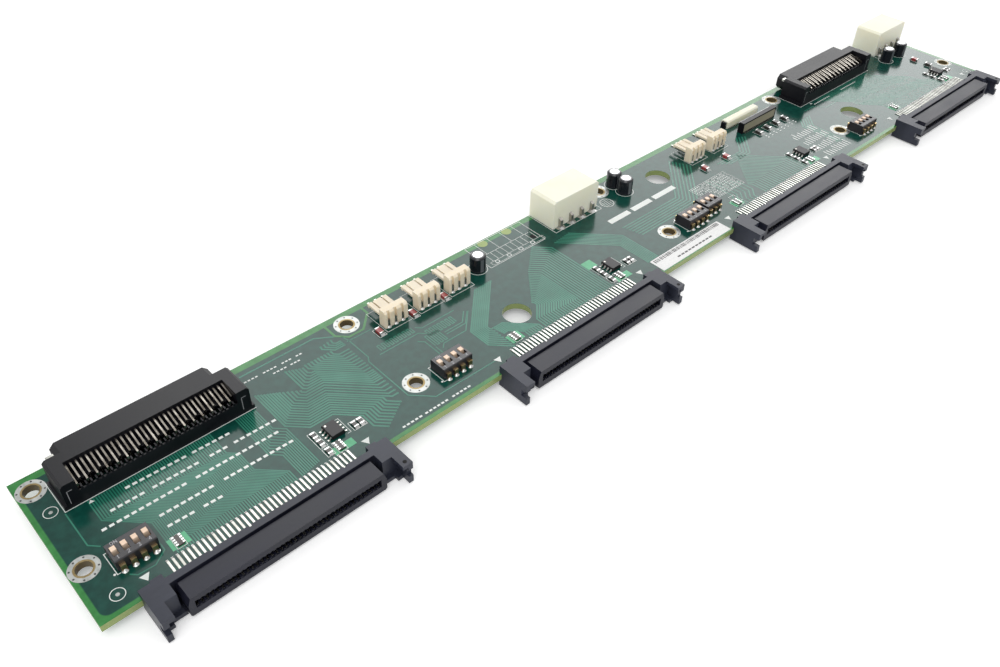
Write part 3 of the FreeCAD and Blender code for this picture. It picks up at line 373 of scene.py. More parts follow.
DULL_TIN = plated("dull_tin", (0.30, 0.29, 0.26), (0.55, 0.53, 0.49), 0.36)
GILT = plated("gilt_lead", (0.50, 0.34, 0.15), (0.78, 0.58, 0.32), 0.30)
SOLDER = plated("solder", (0.34, 0.34, 0.33), (0.58, 0.58, 0.57), 0.26)
PAD_RING = plated("post_pad", (0.20, 0.21, 0.20), (0.32, 0.33, 0.32), 0.40)
ALUMINIUM = plated("can_aluminium", (0.58, 0.58, 0.60), (0.80, 0.80, 0.82), 0.30)
COLLAR = plated("post_collar", (0.12, 0.09, 0.04), (0.22, 0.17, 0.09), 0.4)
# Gold of the mounting holes' plating, darkened as painted shade for the holes' shadowed insides.
SHADED_PLATED_WALL = moulded("post_wall_painted_shade", (0.065, 0.048, 0.015), (0.14, 0.10, 0.04), 0.45)
PAPER = paper_material()
PRINT = moulded("white_print", (0.66, 0.70, 0.67), (0.80, 0.83, 0.80), 0.5, 1200.0, 0.05)
SWITCH_PRINT = moulded("switch_print", (0.30, 0.30, 0.32), (0.45, 0.45, 0.47), 0.5, 1200.0, 0.05)
STRIPE = moulded("sleeve_stripe", (0.07, 0.08, 0.09), (0.13, 0.14, 0.15), 0.35, 1200.0, 0.05)
INK = moulded("label_ink", (0.01, 0.01, 0.01), (0.03, 0.03, 0.03), 0.5)
# Flat black that stands for the shade inside holes and recesses: painted shade.
SHADE = moulded("painted_hole_shade", (0.002, 0.002, 0.002), (0.004, 0.004, 0.004), 0.7, specular=0.2)

NODE_FINISH = {
    "circuit_board": MASK, "drive_socket": SOCKET_GREY, "socket_leads": TIN,
    "cable_connector": BLACK, "cable_pins": PIN_TIN, "power_header": IVORY, "power_pins": DULL_TIN,
    "fan_header": FAN_IVORY, "fan_pins": TIN, "capacitor": SLEEVE,
    "dip_switch": SWITCH_BLACK, "switch_slider": SLIDER, "switch_leads": GILT,
    "small_chips": CHIP_BLACK, "small_chip_leads": TIN, "chip_parts": CERAMIC,
    "ribbon_socket_black": BLACK, "ribbon_socket_panel": OLIVE, "ribbon_socket_ivory": IVORY,
    "ribbon_socket_tabs": BLACK, "bar_label": PAPER,
}

# Nodes of one kind are numbered: their kind is the name without its number.
for node_name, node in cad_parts.items():
    base = node_name if node_name in NODE_FINISH else node_name.rstrip("0123456789").rstrip("_")
    for material_slot in node.material_slots:
        material_slot.material = NODE_FINISH[base]


# Surfaces

# How much of its rise a fillet of solder keeps at its toe.
FILLET_TOE = 0.15


def to_row(points):
    """Board millimetres to metres in the row frame: scale by 0.001 and add the board's corner."""
    return np.asarray(points, float) * MM + SHIFT


def placed(name, data):
    """New object in the scene's own collection."""
    result = bpy.data.objects.new(name, data)
    bpy.context.scene.collection.objects.link(result)
    return result


def piece(name, parts, finish, smooth=False):
    """One mesh piece from (points, faces) parts in board mm, riding on the board's body."""
    points, faces = joined(parts)
    mesh = bpy.data.meshes.new(name)
    mesh.from_pydata(to_row(points).tolist(), [], faces.tolist())
    mesh.polygons.foreach_set("use_smooth", np.full(len(mesh.polygons), smooth))
    mesh.update()
    mesh.materials.append(finish)
    result = placed(name, mesh)
    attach(result, BODY)


def joined(parts):
    """Several (points, faces) meshes as one, each one's faces counted on from the last."""
    starts = np.cumsum([0] + [len(points) for points, _ in parts[:-1]])
    points = np.concatenate([points for points, _ in parts])
    faces = np.concatenate([faces + start for (_, faces), start in zip(parts, starts)])
    return points, faces


def grid_faces(across, along):
    """Quads between rows of points, each row closed on itself."""
    i = np.arange(across)
    j = np.arange(along - 1)[:, None]
    k = (i + 1) % across
    quads = np.stack([j * across + i, j * across + k, (j + 1) * across + k, (j + 1) * across + i], -1)
    return quads.reshape(-1, 4)


def outward(faces, level):
    """Faces of a flat shape that looks up, turned over where it lies on the board's underside."""
    return faces[:, ::-1] if level < UNDERSIDE / 2 else faces


def ribbon(path, width, level):
    """Flat ribbon: each path point is moved by half the width to both sides along the mitred normal,
    which is the sum of the two neighbouring normals divided by one plus their dot product."""
    path = np.asarray(path, float)
    step = np.diff(path, axis=0)
    step /= np.linalg.norm(step, axis=1, keepdims=True)
    normal = np.stack([-step[:, 1], step[:, 0]], 1)
    before = np.vstack([normal[:1], normal])
    after = np.vstack([normal, normal[-1:]])
    mitre = (before + after) / (1 + (before * after).sum(1, keepdims=True))
    flat = np.stack([path + mitre * width / 2, path - mitre * width / 2], 1).reshape(-1, 2)
    points = np.column_stack([flat, np.full(len(flat), level)])
    i = np.arange(len(path) - 1) * 2
    return points, outward(np.stack([i, i + 1, i + 3, i + 2], 1), level)


def ring(x, y, inner, outer, level, count=32):
    """Flat ring: radius inner and outer at equal angles round x, y."""
    angle = np.arange(count) * 2 * math.pi / count
    circle = np.column_stack([np.cos(angle), np.sin(angle)])
    flat = np.concatenate([circle * inner + (x, y), circle * outer + (x, y)])
    points = np.column_stack([flat, np.full(len(flat), level)])
    return points, outward(grid_faces(count, 2)[:, ::-1], level)


def cap(start, count, flip):
    """Strips across a circle of points: each joins a pair on one side to the pair that faces it."""
    i = np.arange(count // 2 - 1)
    faces = np.stack([i, i + 1, count - 2 - i, count - 1 - i], 1) + start
    return faces[:, ::-1] if flip else faces


def disc(x, y, radius, level, count=12):
    """Flat disc: points at equal angles round x, y, closed by strips across it."""
    angle = np.arange(count) * 2 * math.pi / count
    points = np.column_stack([
        x + radius * np.cos(angle), y + radius * np.sin(angle), np.full(count, float(level)),
    ])
    return points, outward(cap(0, count, False), level)


def block(low, high):
    """Closed box between two corners."""
    low, high = np.minimum(low, high), np.maximum(low, high)
    corner = np.array([[i & 1, i >> 1 & 1, i >> 2 & 1] for i in range(8)], float)
    faces = np.array([
        [0, 2, 3, 1], [4, 5, 7, 6], [0, 1, 5, 4], [2, 6, 7, 3], [0, 4, 6, 2], [1, 3, 7, 5],
    ])
    return low + corner * (high - low), faces


def wedge(x, half, y0, y1, low, rise):
    """Fillet of solder: a box whose top falls from rise at y0 to a thin toe at y1."""
    points, faces = block((x - half, min(y0, y1), low), (x + half, max(y0, y1), low + rise))
    tip = np.isclose(points[:, 1], y1) & (points[:, 2] != low)
    points[tip, 2] = low + rise * FILLET_TOE
    return points, faces


def patch(x0, y0, x1, y1, level):
    """Flat rectangle."""
    points = np.array([[x0, y0, level], [x1, y0, level], [x1, y1, level], [x0, y1, level]], float)
    return points, outward(np.array([[0, 1, 2, 3]]), level)


def upright(x0, z0, x1, z1, y):
    """Upright rectangle that faces the back."""
    points = np.array([[x0, y, z0], [x0, y, z1], [x1, y, z1], [x1, y, z0]], float)
    return points, np.array([[0, 1, 2, 3]])


def turned(x, y, profile, count=16, closed=False):
    """Surface of revolution round the upright line through x, y: each (radius, height) goes round,
    and where it is closed, strips cross its first circle, which lies furthest from the board."""
    angle = np.arange(count) * 2 * math.pi / count
    profile = np.asarray(profile, float)
    radius = profile[:, :1]
    points = np.stack([
        x + radius * np.cos(angle), y + radius * np.sin(angle),
        np.repeat(profile[:, 1:], count, 1),
    ], -1).reshape(-1, 3)
    faces = grid_faces(count, len(profile))
    if not closed:
        return points, faces
    if profile[0, 1] < profile[-1, 1]:
        return points, np.concatenate([faces, cap(0, count, True)])
    return points, np.concatenate([faces[:, ::-1], cap(0, count, False)])


def bundle(count, first, last):
    """Lines spread evenly between a first and a last one: each is their weighted mean."""
    share = np.linspace(0.0, 1.0, count)[:, None, None]
    return list((1 - share) * np.array(first, float) + share * np.array(last, float))


def meander(x0, x1, low, high, pitch):
    """Line that runs up and down between two heights in even steps along x."""
    x = np.repeat(np.arange(x0, x1, pitch), 2)
    y = np.tile([low, high, high, low], len(x) // 4 + 1)[:len(x)]
    return np.column_stack([x, y])


# Traces

FINE_TRACE = 0.34
WIDE_TRACE = 0.50
FINE_VIA = 0.34
WIDE_VIA = 0.36
VIA_BORE_SHARE = 0.4
GUARD_WIDTH = 0.75
GUARD = [(91.0, 48.6), (91.0, 43.4), (93.9, 40.5), (99.0, 40.5), (104.2, 45.7), (104.2, 48.6)]
EDGE_LINE = [(61.5, 46.6), (85.7, 46.6), (90.6, 43.4)]

# How far past its first lead each bay's feeders on the underside start: the second bay's lie
# beyond the opening that is there.
FEEDER_STARTS = (0.0, 17.8, 0.0, 0.0)


def connector_lines():
    """Dense lines from the cable connectors to the leads of the nearest drive socket."""
    near, far = BAYS[0], BAYS[3]
    top = CONNECTOR_Y - 0.5
    lines = bundle(
        50,
        [(near + 3.1, 5.9), (near + 3.1, 8.4), (near + 2.5, 9.0), (near + 2.5, 17.6),
         (near - 5.9, 26.0), (near - 5.9, top)],
        [(near + 35.0, 5.9), (near + 35.0, 9.6), (near + 28.8, 15.8), (near + 28.8, 22.8),
         (near + 26.5, 25.1), (near + 26.5, top)],
    )
    lines += bundle(
        10,
        [(near + 36.7, 6.0), (near + 36.7, 15.0), (near + 34.1, 17.6), (near + 34.1, top)],
        [(near + 42.3, 7.2), (near + 42.3, 22.0), (near + 39.7, 24.6), (near + 39.7, top)],
    )
    lines += bundle(
        44,
        [(far + 2.5, 6.2), (far + 2.5, 13.0), (far - 4.5, 20.0), (far - 4.5, 22.5),
         (far - 14.5, 32.5), (far - 14.5, top)],
        [(far + 41.0, 6.2), (far + 41.0, 10.0), (far + 36.0, 15.0), (far + 36.0, 18.0),
         (far + 23.6, 30.4), (far + 23.6, top)],
    )
    return lines


def fan_out_lines():
    """Wide bundles beside the sockets: they leave the connector or the leads, turn by 45 degrees
    and end in rows of vias."""
    lines = bundle(
        9,
        [(61.0, 37.6), (61.0, 23.1), (65.7, 18.4), (72.7, 18.4), (78.3, 12.8), (78.3, 8.0), (81.0, 5.3)],
        [(66.5, 34.3), (66.5, 28.1), (69.4, 25.2), (75.6, 25.2), (86.3, 14.5), (86.3, 12.9), (88.9, 10.3)],
    )
    lines += bundle(
        5,
        [(67.3, 33.7), (67.3, 28.6), (69.9, 26.0), (75.8, 26.0), (88.5, 13.3), (90.3, 13.3)],
        [(71.2, 31.2), (71.2, 30.7), (72.0, 29.9), (77.7, 29.9), (88.2, 19.4), (90.5, 19.4)],
    )
    lines += bundle(
        6,
        [(72.2, 40.2), (72.2, 31.6), (73.0, 30.8), (78.0, 30.8), (88.0, 20.8), (90.7, 20.8)],
        [(76.6, 38.2), (76.6, 36.0), (77.4, 35.2), (78.4, 35.2), (88.6, 25.0), (90.7, 25.0)],
    )
    lines += bundle(
        9,
        [(77.7, 38.8), (77.7, 37.1), (88.6, 26.2), (90.7, 26.2)],
        [(86.3, 38.7), (86.3, 37.5), (87.5, 36.3), (90.7, 36.3)],
    )
    lines += bundle(
        4,
        [(85.2, 42.2), (85.0, 41.2), (87.7, 38.5), (90.9, 38.5)],
        [(89.0, 42.6), (88.8, 41.4), (89.5, 40.7), (90.8, 40.7)],
    )
    lines += bundle(
        9,
        [(126.9, 6.2), (121.7, 11.4), (121.7, 19.0), (135.5, 32.8)],
        [(127.1, 15.9), (126.7, 16.3), (126.7, 17.5), (142.0, 32.8)],
    )
    lines += bundle(
        7,
        [(127.8, 15.9), (131.3, 15.9), (138.9, 8.3), (138.9, 6.4)],
        [(128.6, 12.2), (130.2, 12.2), (133.6, 8.8), (133.6, 6.4)],
    )
    lines += bundle(
        18,
        [(140.2, 6.4), (140.2, 10.4), (144.9, 15.1), (144.9, 16.3), (144.5, 16.7)],
        [(156.1, 6.4), (156.1, 8.9), (156.3, 9.1), (156.3, 25.0), (153.7, 27.6)],
    )
    lines += bundle(
        13,
        [(157.2, 6.4), (157.2, 25.6), (154.4, 28.4)],
        [(168.8, 6.4), (168.8, 32.5), (164.2, 37.1)],
    )
    lines += bundle(
        20,
        [(250.5, 6.4), (250.5, 12.5), (249.6, 13.4)],
        [(276.5, 6.4), (276.5, 14.4), (262.6, 28.3)],
    )
    lines += bundle(
        6,
        [(236.0, 6.4), (236.0, 9.5), (239.0, 12.5), (239.0, 24.5)],
        [(245.0, 6.4), (245.0, 7.5), (248.0, 10.5), (248.0, 17.0)],
    )
    return lines


def bus_lines():
    """Bundles between the power header, the third socket and the fourth one."""
    lines = bundle(
        8,
        [(171.6, 33.8), (186.6, 18.8), (186.6, 6.8)],
        [(178.8, 34.6), (191.4, 22.0), (191.4, 7.0)],
    )
    lines += bundle(
        7,
        [(197.0, 18.0), (226.4, 18.0), (243.4, 35.0)],
        [(195.0, 24.8), (222.6, 24.8), (239.8, 42.0)],
    )
    lines += bundle(
        4,
        [(252.0, 29.0), (266.0, 29.0), (273.0, 36.0)],
        [(256.0, 26.0), (268.0, 26.0), (276.5, 34.5)],
    )
    lines += bundle(
        5,
        [(300.5, 9.0), (300.5, 24.0), (304.0, 27.5)],
        [(304.5, 8.0), (304.5, 22.0), (310.0, 27.5)],
    )
    return lines


def single_lines():
    """Lone lines and the meanders that make lines equally long."""
    return [
        [(92.3, 42.0), (92.9, 39.0), (92.9, 30.0), (91.9, 28.4), (91.9, 10.8), (97.3, 5.4), (120.5, 5.2)],
        [(92.2, 39.2), (100.4, 39.0)],
        [(7.1, 33.5), (7.1, 21.5), (9.2, 19.3)],
        [(10.7, 8.0), (12.0, 6.6), (16.2, 6.4), (19.6, 8.8), (19.6, 15.0)],
        [(95.9, 28.6), (109.8, 28.6), (111.8, 26.6)],
        meander(97.4, 109.6, 29.7, 32.0, 0.75),
        [(110.6, 31.2), (112.1, 29.7), (124.2, 29.7)],
        meander(111.8, 121.6, 25.3, 28.1, 0.75),
        meander(110.2, 115.4, 21.2, 26.2, 0.75),
        [(107.4, 25.9), (108.9, 24.4), (108.9, 17.6)],
        [(109.9, 20.8), (109.9, 17.6)],
        [(115.8, 23.9), (122.7, 23.9), (126.2, 27.4)],
        [(115.8, 22.9), (123.1, 22.9), (127.0, 26.8)],
        [(111.2, 19.0), (112.6, 20.4), (121.0, 20.4), (127.3, 26.7)],
        [(181.5, 45.6), (181.5, 42.0), (184.0, 39.5)],
        [(312.0, 31.0), (318.0, 31.0), (322.0, 27.0), (330.0, 27.0)],
    ]


def vias(lines, radius, level):
    """Small rings of copper at both ends of each line."""
    ends = [line[place] for line in lines for place in (0, -1)]
    return [ring(x, y, radius * VIA_BORE_SHARE, radius, level, 10) for x, y in ends]


def underside_lines():
    """Long lines between the sockets on the back of the board, with feeders from the leads."""
    right = BOARD_SIZE[0]
    lines = bundle(
        9,
        [(12.0, 24.6), (right * 0.5, 24.6), (right * 0.5 + 2.0, 26.6), (right - 14.0, 26.6)],
        [(14.0, 29.4), (right * 0.5, 29.4), (right * 0.5 + 2.0, 31.4), (right - 16.0, 31.4)],
    )
    for bay, past in zip(BAYS, FEEDER_STARTS):
        start = bay + past
        lines += bundle(
            20,
            [(start, 6.2), (start, 12.0), (start + 3.0, 15.0), (start + 3.0, 23.4)],
            [(bay + 48.3, 6.2), (bay + 48.3, 9.0), (bay + 45.3, 12.0), (bay + 45.3, 23.4)],
        )
    return lines


def board_traces():
    """Copper lines under the mask on both sides, wide in the bundles, with vias at their ends, the
    bare border that turns round a post, and the mint pours under the small parts."""
    fine = connector_lines() + single_lines()
    wide = fan_out_lines() + bus_lines()
    below = underside_lines()
    parts = [ribbon(line, FINE_TRACE, COPPER_RISE) for line in fine]
    parts += [ribbon(line, WIDE_TRACE, COPPER_RISE) for line in wide + [EDGE_LINE]]
    parts += [ribbon(line, FINE_TRACE, UNDERSIDE - COPPER_RISE) for line in below]
    parts += vias(wide, WIDE_VIA, VIA_RISE)
    parts += vias(below, FINE_VIA, UNDERSIDE - VIA_RISE)
    piece("board_traces", parts, COPPER)
    piece("border_round_post", [ribbon(GUARD, GUARD_WIDTH, COPPER_RISE)], LAMINATE)
    pours = []
    for bay, chip in zip(BAYS, CHIP_STARTS):
        pours.append(patch(bay + 2.3, 7.0, bay + 7.0, 10.6, POUR_RISE))
        pours.append(patch(chip + 46.6, 6.0, chip + 53.0, 8.6, POUR_RISE))
    pours.append(patch(169.2, 16.4, 173.2, 20.2, POUR_RISE))
    piece("open_pours", pours, MINT)


board_traces()


# Pads and solder

POSTS = (
    (3.8, 16.1), (398.2, 16.1), (3.8, 45.4), (96.5, 13.1), (204.78, 13.1), (309.66, 13.1),
    (96.5, 45.4), (204.78, 45.4), (309.66, 45.4),
)
POST_BORE = 2.0
POST_PAD = 3.87
POST_COLLAR = 2.5
PLATING = 0.03
EDGE_MARGIN = 0.1
PAD_VIA = 0.26
PAD_VIA_CIRCLE = 3.2

LEAD_PAD_HALF = 0.27
LEAD_PAD_START = 1.6
LEAD_FILLET_HALF = 0.25
LEAD_FILLET_RISE = 0.22

# Soldered joints: (share of the joint's radius, height from the board's face), tip first. Their
# radii are those of the cable connectors, the switches, the fan headers and capacitors, and the
# power headers.
JOINT_BELOW = ((0.42, -1.2), (0.55, -0.7), (0.8, -0.25), (1.15, -PAD_RISE))
JOINT_ABOVE = ((0.3, 0.62), (0.6, 0.4), (0.95, 0.12), (1.15, PAD_RISE))
CABLE_JOINT = 0.52
SWITCH_JOINT = 0.75
HEADER_JOINT = 0.8
POWER_JOINT = 1.5


def mounting_pads():
    """Tinned rings round the mounting holes, each with eight small vias drawn as dark discs of painted
    shade, and their plated walls, whose dark gold is partly painted shade. At the board's ends a ring is
    only as wide as there is room for."""
    rings, walls, dots, collars = [], [], [], []
    angle = np.arange(8) * math.pi / 4 + math.pi / 8
    around = PAD_VIA_CIRCLE * np.column_stack([np.cos(angle), np.sin(angle)])
    wall = [(POST_BORE - PLATING, PAD_RISE), (POST_BORE - PLATING, UNDERSIDE - PAD_RISE)]
    for x, y in POSTS:
        reach = min(POST_PAD, x - EDGE_MARGIN, BOARD_SIZE[0] - x - EDGE_MARGIN)
        for level, lift in ((PAD_RISE, 0.01), (UNDERSIDE - PAD_RISE, -0.01)):
            rings.append(ring(x, y, POST_BORE, reach, level, 48))
            # Each via is a dark disc of painted shade for its open bore.
            dots += [disc(x + a, y + b, PAD_VIA, level + lift) for a, b in around]
        walls.append(turned(x, y, wall, 40))
        collars.append(ring(x, y, POST_BORE, POST_COLLAR, PAD_RISE + 0.005, 48))
    piece("mounting_pads", rings, PAD_RING)
    piece("mounting_collars", collars, COLLAR)
    piece("mounting_walls", walls, SHADED_PLATED_WALL, smooth=True)
    piece("mounting_pad_via_shade", dots, CHIP_BLACK)


def lead_solder():
    """Pads under the socket leads on both sides, with a fillet of solder at each lead's end."""
    pads, fillets = [], []
    foot = extent("socket_leads_1")[1][1]
    for bay in BAYS:
        for x in bay + LEAD_PITCH * np.arange(LEAD_COUNT):
            left, right = x - LEAD_PAD_HALF, x + LEAD_PAD_HALF
            for level, side in ((PAD_RISE, 1.0), (UNDERSIDE - PAD_RISE, -1.0)):
                rise = side * LEAD_FILLET_RISE
                pads.append(patch(left, LEAD_PAD_START, right, foot + 0.6, level))
                fillets.append(wedge(x, LEAD_FILLET_HALF, foot - 0.05, foot + 0.5, level, rise))
    piece("lead_pads", pads, SOLDER)
    piece("lead_fillets", fillets, SOLDER)


def cable_tails():
    """The cable connectors' soldered tails: four rows, the odd ones shifted by a pitch."""
    places = []
    for middle in CONNECTOR_X:
        first = middle - LEAD_PITCH * (CABLE_LEADS - 1) / 2
        for tail_row in range(4):
            y = CONNECTOR_Y + 1.02 + 1.5 * tail_row
            xs = first + LEAD_PITCH * (tail_row % 2 + 2 * np.arange(CABLE_LEADS // 2))
            places += [(x, y, CABLE_JOINT) for x in xs]
    return places


def header_tails():
    """The soldered tails of the fan headers, capacitors and power headers."""
    places = []
    for index, middle in enumerate(FAN_MIDDLES, start=1):
        y = extent(f"fan_header_{index}")[0][1] + 0.43
        places += [(middle + shift, y, HEADER_JOINT) for shift in (-FAN_PITCH, 0.0, FAN_PITCH)]
        x, y = centre_of(f"capacitor_{index}")
        places += [(x + shift, y, HEADER_JOINT) for shift in (-1.0, 1.0)]
    for index in (1, 2):
        middle = centre_of(f"power_header_{index}")[0]
        y = extent(f"power_header_{index}")[0][1] - 0.55
        places += [(middle + POWER_PITCH * (step - 1.5), y, POWER_JOINT) for step in range(4)]
    return places


def switch_tails():
    """The switches' leads where they enter the board."""
    places = []
    for index in range(1, 6):
        low, high, xs = switch_places(index)
        places += [(x, y, SWITCH_JOINT) for x in xs for y in (low[1] - 0.6, high[1] + 0.6)]
    return places


def solder_joint(x, y, radius, profile, face):
    """Closed cone of solder: a profile turned round the tail, its radii as shares of the joint's."""
    return turned(x, y, [(radius * share, face + height) for share, height in profile], 12, True)


def solder_joints():
    """Cones of solder round every tail below the board, and low rings of it above. Each tail is
    given by the place of its middle and the radius of its joint."""
    shown = header_tails() + switch_tails()
    below = [solder_joint(*tail, JOINT_BELOW, UNDERSIDE) for tail in cable_tails() + shown]
    above = [solder_joint(*tail, JOINT_ABOVE, 0.0) for tail in shown]
    piece("solder_below", below, SOLDER, smooth=True)
    piece("solder_above", above, SOLDER, smooth=True)


mounting_pads()
lead_solder()
solder_joints()


# Print

# Each row of print: x and y of its two ends as (x0, x1, y0, y1), its height and its words.
PRINT_ROWS = (
    (21.0, 50.5, 31.3, 30.4, 0.8, 2), (15.3, 63.5, 27.2, 26.6, 0.8, 4),
    (11.3, 60.5, 23.2, 22.6, 0.8, 2), (23.2, 61.5, 18.2, 17.5, 0.8, 2),
    (23.2, 38.8, 14.2, 13.6, 0.8, 2), (61.4, 81.4, 43.9, 43.6, 0.5, 4),
    (69.3, 79.3, 41.8, 41.6, 0.5, 2), (83.5, 109.0, 2.4, 2.4, 0.6, 3),
    (320.0, 332.0, 31.6, 31.6, 0.5, 1), (340.0, 352.0, 31.6, 31.6, 0.5, 1),
)
SIGHTING_MARKS = ((4.7, 36.1), (6.4, 4.9), (398.0, 4.9))
PLAIN_BARS = ((193.6, 203.6), (205.2, 214.8), (216.4, 227.6))
PLAIN_BAR_Y = 29.8
PLAIN_BAR_HEIGHT = 2.2
RULED_CIRCLE = (201.8, 38.5)
RULED_RADIUS = 2.4

# A row's dashes: their step as a share of the row's height, and as shares of that step the length
# of a dash and the room kept free at a word's end.
DASH_STEP = 2.3
DASH_LENGTH = 0.66
DASH_FREE = 1.4


def outline(x0, y0, x1, y1, width=0.16):
    """Closed rectangle of print."""
    path = [(x0, y0), (x1, y0), (x1, y1), (x0, y1), (x0, y0 - width / 2)]
    return ribbon(path, width, PRINT_RISE)


def bars(x0, x1, y0, y1, height, words, seed):
    """A row of short plain dashes in groups, where the board has a line of print: the groups share
    the row by random lengths, and each dash lies on the straight line between the row's ends."""
    random = np.random.default_rng(seed)
    lengths = random.uniform(0.5, 1.5, words)
    edges = x0 + (x1 - x0) * np.concatenate([[0.0], np.cumsum(lengths) / lengths.sum()])
    step = height * DASH_STEP
    made = []
    for a, b in zip(edges[:-1], edges[1:]):
        for x in np.arange(a, max(b - step * DASH_FREE, a + 0.01), step):
            ends = np.array([x, x + step * DASH_LENGTH])
            ys = y0 + (y1 - y0) * (ends - x0) / (x1 - x0)
            made.append(ribbon(np.column_stack([ends, ys]), height, PRINT_RISE))
    return made


def connector_print():
    """Outlines round the cable connectors, their first pins' arrows and the power headers' lines."""
    marks = []
    for middle in CONNECTOR_X:
        left, right = middle - 25.9, middle + 25.9
        marks.append(ribbon(
            [(left, 45.2), (left, CONNECTOR_Y - 0.25), (right, CONNECTOR_Y - 0.25)], 0.22, PRINT_RISE,
        ))
        marks.append(arrow(middle - 20.0, CONNECTOR_Y - 0.6, 0.7, -1.0))
    for index in (1, 2):
        low, high = extent(f"power_header_{index}")
        marks.append(outline(low[0] - 0.5, low[1] - 2.0, high[0] + 0.5, high[1] - 0.3, 0.2))
    return marks


def arrow(x, y, half, height):
    """Triangle of print with its tip at x, y, as a four-sided face with a short tip."""
    points = np.array([
        [x - 0.04, y, PRINT_RISE], [x + 0.04, y, PRINT_RISE],
        [x + half, y + height, PRINT_RISE], [x - half, y + height, PRINT_RISE],
    ])
    faces = np.array([[0, 1, 2, 3]])
    return points, faces if height > 0 else faces[:, ::-1]


def part_print():
    """Outlines round the small parts, the switches and the headers."""
    marks = []
    for bay, chip in zip(BAYS, CHIP_STARTS):
        marks += [
            outline(chip + 44.8, 10.3, chip + 47.0, 16.5),
            outline(chip + 44.8, 6.8, chip + 47.0, 9.8),
            outline(chip + 55.1, 9.8, chip + 59.1, 13.0),
            outline(chip + 47.9, 6.1, chip + 50.3, 10.1),
            outline(bay + 3.4, 6.8, bay + 5.8, 10.8),
            ribbon(
                [(chip + 53.2, 16.2), (chip + 54.2, 16.2), (chip + 54.2, 10.2), (chip + 53.2, 10.2)],
                0.16, PRINT_RISE,
            ),
        ]
        for x in (bay - 5.5, bay + 55.2):
            marks.append(arrow(x, 3.7, 1.25, 2.0))
    for index in range(1, 6):
        low, high = extent(f"fan_header_{index}")
        marks.append(outline(low[0] - 0.4, low[1] - 1.5, high[0] + 0.4, high[1] + 0.3))
        low, high = extent(f"dip_switch_{index}")
        x, front, back = low[0], low[1] - 0.6, high[1] + 0.5
        bracket = [(x + 0.6, back), (x - 0.5, back), (x - 0.5, front), (x + 0.3, front)]
        marks.append(ribbon(bracket, 0.2, PRINT_RISE))
        marks.append(disc(low[0] - 1.0, low[1] - 0.2, 0.32, PRINT_RISE))
        marks.append(ring(*centre_of(f"capacitor_{index}"), 3.05, 3.25, PRINT_RISE))
    for x, y in DIODES:
        marks.append(outline(x - 1.25, y - 1.9, x + 1.25, y + 1.9))
    return marks


def spare_header_print():
    """Outline, lines and pads' rings of the header that isn't fitted, and a circle ruled with
    chords beside it: half a chord is the root of the radius squared less its height squared."""
    marks = [outline(146.6, 37.5, 170.6, 50.3, 0.2), outline(148.2, 38.0, 171.2, 39.6, 0.14)]
    marks += [ribbon([(x, 39.6), (x, 43.8)], 0.16, PRINT_RISE) for x in np.arange(149.6, 169.5, 2.2)]
    marks += [ribbon([(x, 43.8), (x, 50.3)], 0.16, PRINT_RISE) for x in (150.6, 156.0, 161.4, 166.8)]
    marks.append(ribbon([(148.4, 43.8), (168.9, 43.8)], 0.16, PRINT_RISE))
    marks += [ring(x, 38.8, 0.55, 0.85, PRINT_RISE, 16) for x in (150.5, 155.6, 160.8, 166.1)]
    x, y = RULED_CIRCLE
    marks.append(ring(x, y, RULED_RADIUS - 0.05, RULED_RADIUS + 0.15, PRINT_RISE))
    for step in (-1.5, -0.75, 0.0, 0.75, 1.5):
        half = math.sqrt(RULED_RADIUS ** 2 - step ** 2)
        marks.append(ribbon([(x - half, y + step), (x + half, y + step)], 0.14, PRINT_RISE))
    return marks


def table_print():
    """Plain tables of short bars, where the board explains its switches."""
    marks = [outline(229.8, 14.9, 249.2, 24.6, 0.14)]
    marks += [ribbon([(229.8, y), (249.2, y)], 0.1, PRINT_RISE) for y in np.arange(16.1, 24.0, 1.2)]
    marks += [ribbon([(x, 14.9), (x, 24.6)], 0.1, PRINT_RISE) for x in (236.0, 242.2)]
    for step, y in enumerate(np.arange(15.5, 24.5, 1.2)):
        marks += bars(230.4, 248.8, y, y, 0.4, 4, 40 + step)
    for step, x in enumerate(np.arange(290.0, 304.5, 1.5)):
        random = np.random.default_rng(step)
        marks += [
            ribbon([(x, y), (x, y + length)], 0.5, PRINT_RISE)
            for y, length in zip((4.6, 9.4, 14.4, 19.4), random.uniform(2.4, 4.2, 4))
        ]
    for step, x in enumerate(np.arange(283.0, 301.5, 2.6)):
        marks += bars(x, x + 1.6, 29.4, 29.4, 0.5, 1, step)
        marks += bars(x, x + 1.6, 28.2, 28.2, 0.5, 1, step)
    marks += [outline(236.6, 8.6, 239.4, 12.6), outline(343.0, 7.6, 346.0, 11.4)]
    return marks


def white_print():
    """All the print on the board, as plain outlines, rings, pointers and bars."""
    marks = connector_print() + part_print() + spare_header_print() + table_print()
    marks += [ring(x, y, 1.60, 1.80, PRINT_RISE) for x, y in SIGHTING_MARKS]
    for seed, (x0, x1, y0, y1, height, words) in enumerate(PRINT_ROWS):
        marks += bars(x0, x1, y0, y1, height, words, seed)
    for x0, x1 in PLAIN_BARS:
        marks.append(ribbon([(x0, PLAIN_BAR_Y), (x1, PLAIN_BAR_Y)], PLAIN_BAR_HEIGHT, PRINT_RISE))
    piece("white_print", marks, PRINT)
    dots = [disc(x, y, 0.5, PAD_RISE) for x, y in SIGHTING_MARKS]
    piece("sighting_dots", dots, PAD_RING)
    # A dark disc of painted shade stands for the open hole of the header that isn't fitted.
    piece("spare_hole_shade", [disc(168.5, 41.1, 1.1, PAD_RISE, 20)], SHADE)
    spots = [disc(x, 49.0, 1.75, PAD_RISE, 24) for x in (153.1, 163.7)]
    piece("spare_peg_holes", spots, BARE_LAMINATE)


